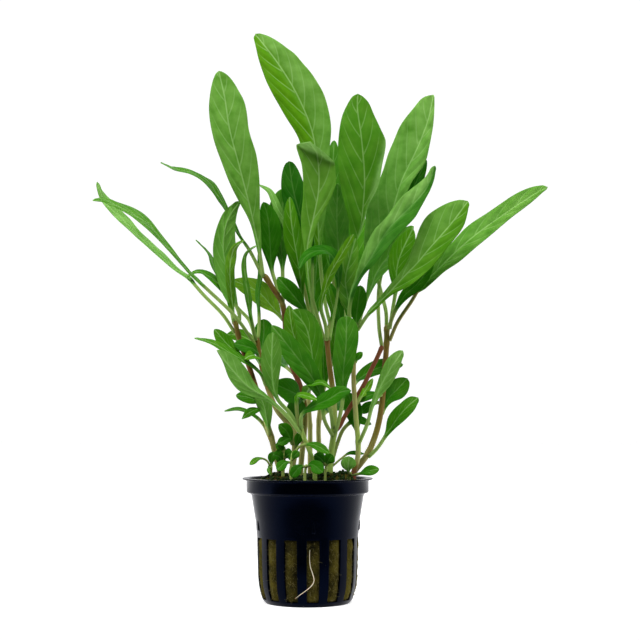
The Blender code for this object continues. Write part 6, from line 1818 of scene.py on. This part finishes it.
SPROUT_LEAVES = {
    "left_far": dict(
        stem="sprout_left", height=57, width=3, face=((0, -0.8, 0.8), (0, -0.8, 0.8)), start=0.45,
        petiole=0.4, tone=0.6, ways=[(-17.4, 59.3, -9), (-20.3, 60.1, -10)], tip=(-24.5, 57.5, -10),
    ),
    "left_curl": dict(
        stem="sprout_left", height=56, width=2.4, face=((-1, -0.8, 0), (-1, -0.8, 0)), petiole=0.4,
        tone=0.55, ways=[(-16.8, 56.4, -11)], tip=(-15.6, 53.2, -13),
    ),
    "left_up": dict(
        stem="sprout_left", height=57, width=3.6, face=((0, -1, 0), (0, -1, 0)), petiole=0.4, tone=0.35,
        ways=[(-15.2, 60, -8)], tip=(-14.4, 63, -8),
    ),
    "front_left_down": dict(
        stem="sprout_front_left", height=59, width=4.4, face=((-0.3, -1, 0.3), (-0.3, -1, 0.3)),
        petiole=0.5, tone=0.4, ways=[(-9.6, 58.2, -19)], tip=(-12.9, 55, -20),
    ),
    "front_left_long": dict(
        stem="sprout_front_left", height=62, width=4, face=((0, -1, 0.8), (0, -1, 0.6)), start=0.36,
        petiole=0.5, tone=0.42, ways=[(-3, 65.4, -18), (1.6, 66, -20), (6, 64.2, -22)], tip=(9, 62, -23),
    ),
    "front_left_up": dict(
        stem="sprout_front_left", height=60, width=3.4, face=((0, -1, 0), (0, -1, 0)), petiole=0.5,
        tone=0.35, ways=[(-5.2, 61.6, -19)], tip=(-3.6, 63, -20),
    ),
    "dark_left": dict(
        stem="sprout_dark", height=59, width=5.4, face=((0, -1, 0.4), (0, -1, 0.4)), petiole=0.5, tone=0.25,
        ways=[(-12, 60.8, -12.4)], tip=(-14.4, 61.6, -14),
    ),
    "dark_right": dict(
        stem="sprout_dark", height=60.6, width=5.2, face=((0, -1, 0.2), (0, -1, 0.2)), petiole=0.5,
        tone=0.25, ways=[(-8.4, 61.6, -12.6)], tip=(-6.4, 62.2, -14.6),
    ),
    "dark_up": dict(
        stem="sprout_dark", height=63, width=4.4, face=((0, -1, 0.4), (0, -1, 0.4)), petiole=0.5, tone=0.3,
        ways=[(-11.6, 65, -12)], tip=(-13.6, 65.8, -13),
    ),
    "front_center_left": dict(
        stem="sprout_front_center", height=57.4, width=4.6, face=((0, -1, 0.2), (0, -1, 0.2)), blunt=0.5,
        petiole=0.5, tone=0.22, ways=[(-3.4, 56.4, -22)], tip=(-6.9, 52.2, -23),
    ),
    "front_center_right": dict(
        stem="sprout_front_center", height=57.4, width=5.6, face=((0.1, -1, 0.2), (0.1, -1, 0.2)),
        blunt=0.5, petiole=0.5, tone=0.3, ways=[(1.8, 57.6, -22)], tip=(6.4, 54.2, -24),
    ),
    "round_right": dict(
        stem="sprout_round", height=57.6, width=5, face=((0, -1, 0.2), (0, -1, 0.2)), blunt=0.5,
        petiole=0.5, tone=0.3, ways=[(8.6, 59, -18)], tip=(10.6, 61.6, -19),
    ),
    "round_left": dict(
        stem="sprout_round", height=57.6, width=4.8, face=((0, -1, 0.2), (0, -1, 0.2)), petiole=0.5,
        tone=0.15, ways=[(6, 59.6, -16)], tip=(2.8, 61.8, -16),
    ),
    "right_spoon": dict(
        stem="sprout_right", height=53.4, width=6.4, face=((0, -1, 0.1), (0, -1, 0.1)), start=0.3,
        blunt=0.5, petiole=0.5, pale=0.5, ways=[(17.1, 56.4, -17)], tip=(17.5, 61, -18),
    ),
    "right_far": dict(
        stem="sprout_right", height=53.6, width=4.4, face=((0, -1, 0.3), (0, -1, 0.3)), start=0.3,
        petiole=0.4, tone=0.4, ways=[(21.4, 53.4, -15), (25.4, 54.8, -16)], tip=(30.2, 55.6, -16),
    ),
    "right_far_low": dict(
        stem="sprout_right", height=53.4, width=2.2, face=((0, -1, 0.6), (0, -1, 0.6)), start=0.4,
        petiole=0.4, tone=0.3, ways=[(22.4, 54, -16.5), (24.6, 54.4, -18)], tip=(27.6, 53.7, -18),
    ),
}

for name, (radius, places) in SPROUTS.items():
    line = stem_line(places)
    skin = stem_skin(line, (radius, radius * SPROUT_TAPER), (), SPROUT_REDNESS)
    skins = with_leaves(name, skin, line, radius * SPROUT_SINKS, SPROUT_LEAVES, SPROUT_STEP)
    grown(f"{name}_skin", skins, [bark, leaf], stands_for=[name])
print("sprouts:", len(SPROUTS))

# %% [markdown]
# One pale root has found its way out of a slot and hangs down the pot's front. It is a thin tube
# on a curve. Its highest places lie deeper, inside the slot.

# %% Root
ROOT_THICK = 0.14
ROOT_TAPER = [(0, 0.5), (0.5, 1), (0.8, 0.9), (1, 0.5)]
ROOT_ROWS = 50
ROOT_SIDES = 8
ROOT_DEPTH = -21.6
ROOT_SINKS = 0.9
LEAVES_SLOT = 20
ROOT_PLACES = [
    (1.2, 24.6), (1, 22.4), (0.8, 19), (1.1, 15), (2.1, 11.8), (2.7, 9), (1.8, 7), (-0.8, 4.7),
    (-3.5, 2.8), (-5.1, 1.5),
]

depths = [ROOT_DEPTH + (ROOT_SINKS if z > LEAVES_SLOT else 0) for _, z in ROOT_PLACES]
hair = smooth_path([seen(x, z, depth) for (x, z), depth in zip(ROOT_PLACES, depths)])
shares = np.linspace(0, 1, ROOT_ROWS)
places, ahead = along_path(hair, shares)
radius = ROOT_THICK * np.interp(shares, *zip(*ROOT_TAPER))
rings, _ = round_rings(places, ahead, radius, ROOT_SIDES)
grown("hanging_root", [ring_skin(rings, {})], [root])
print("root length:", round(path_length(hair), 1), "mm")
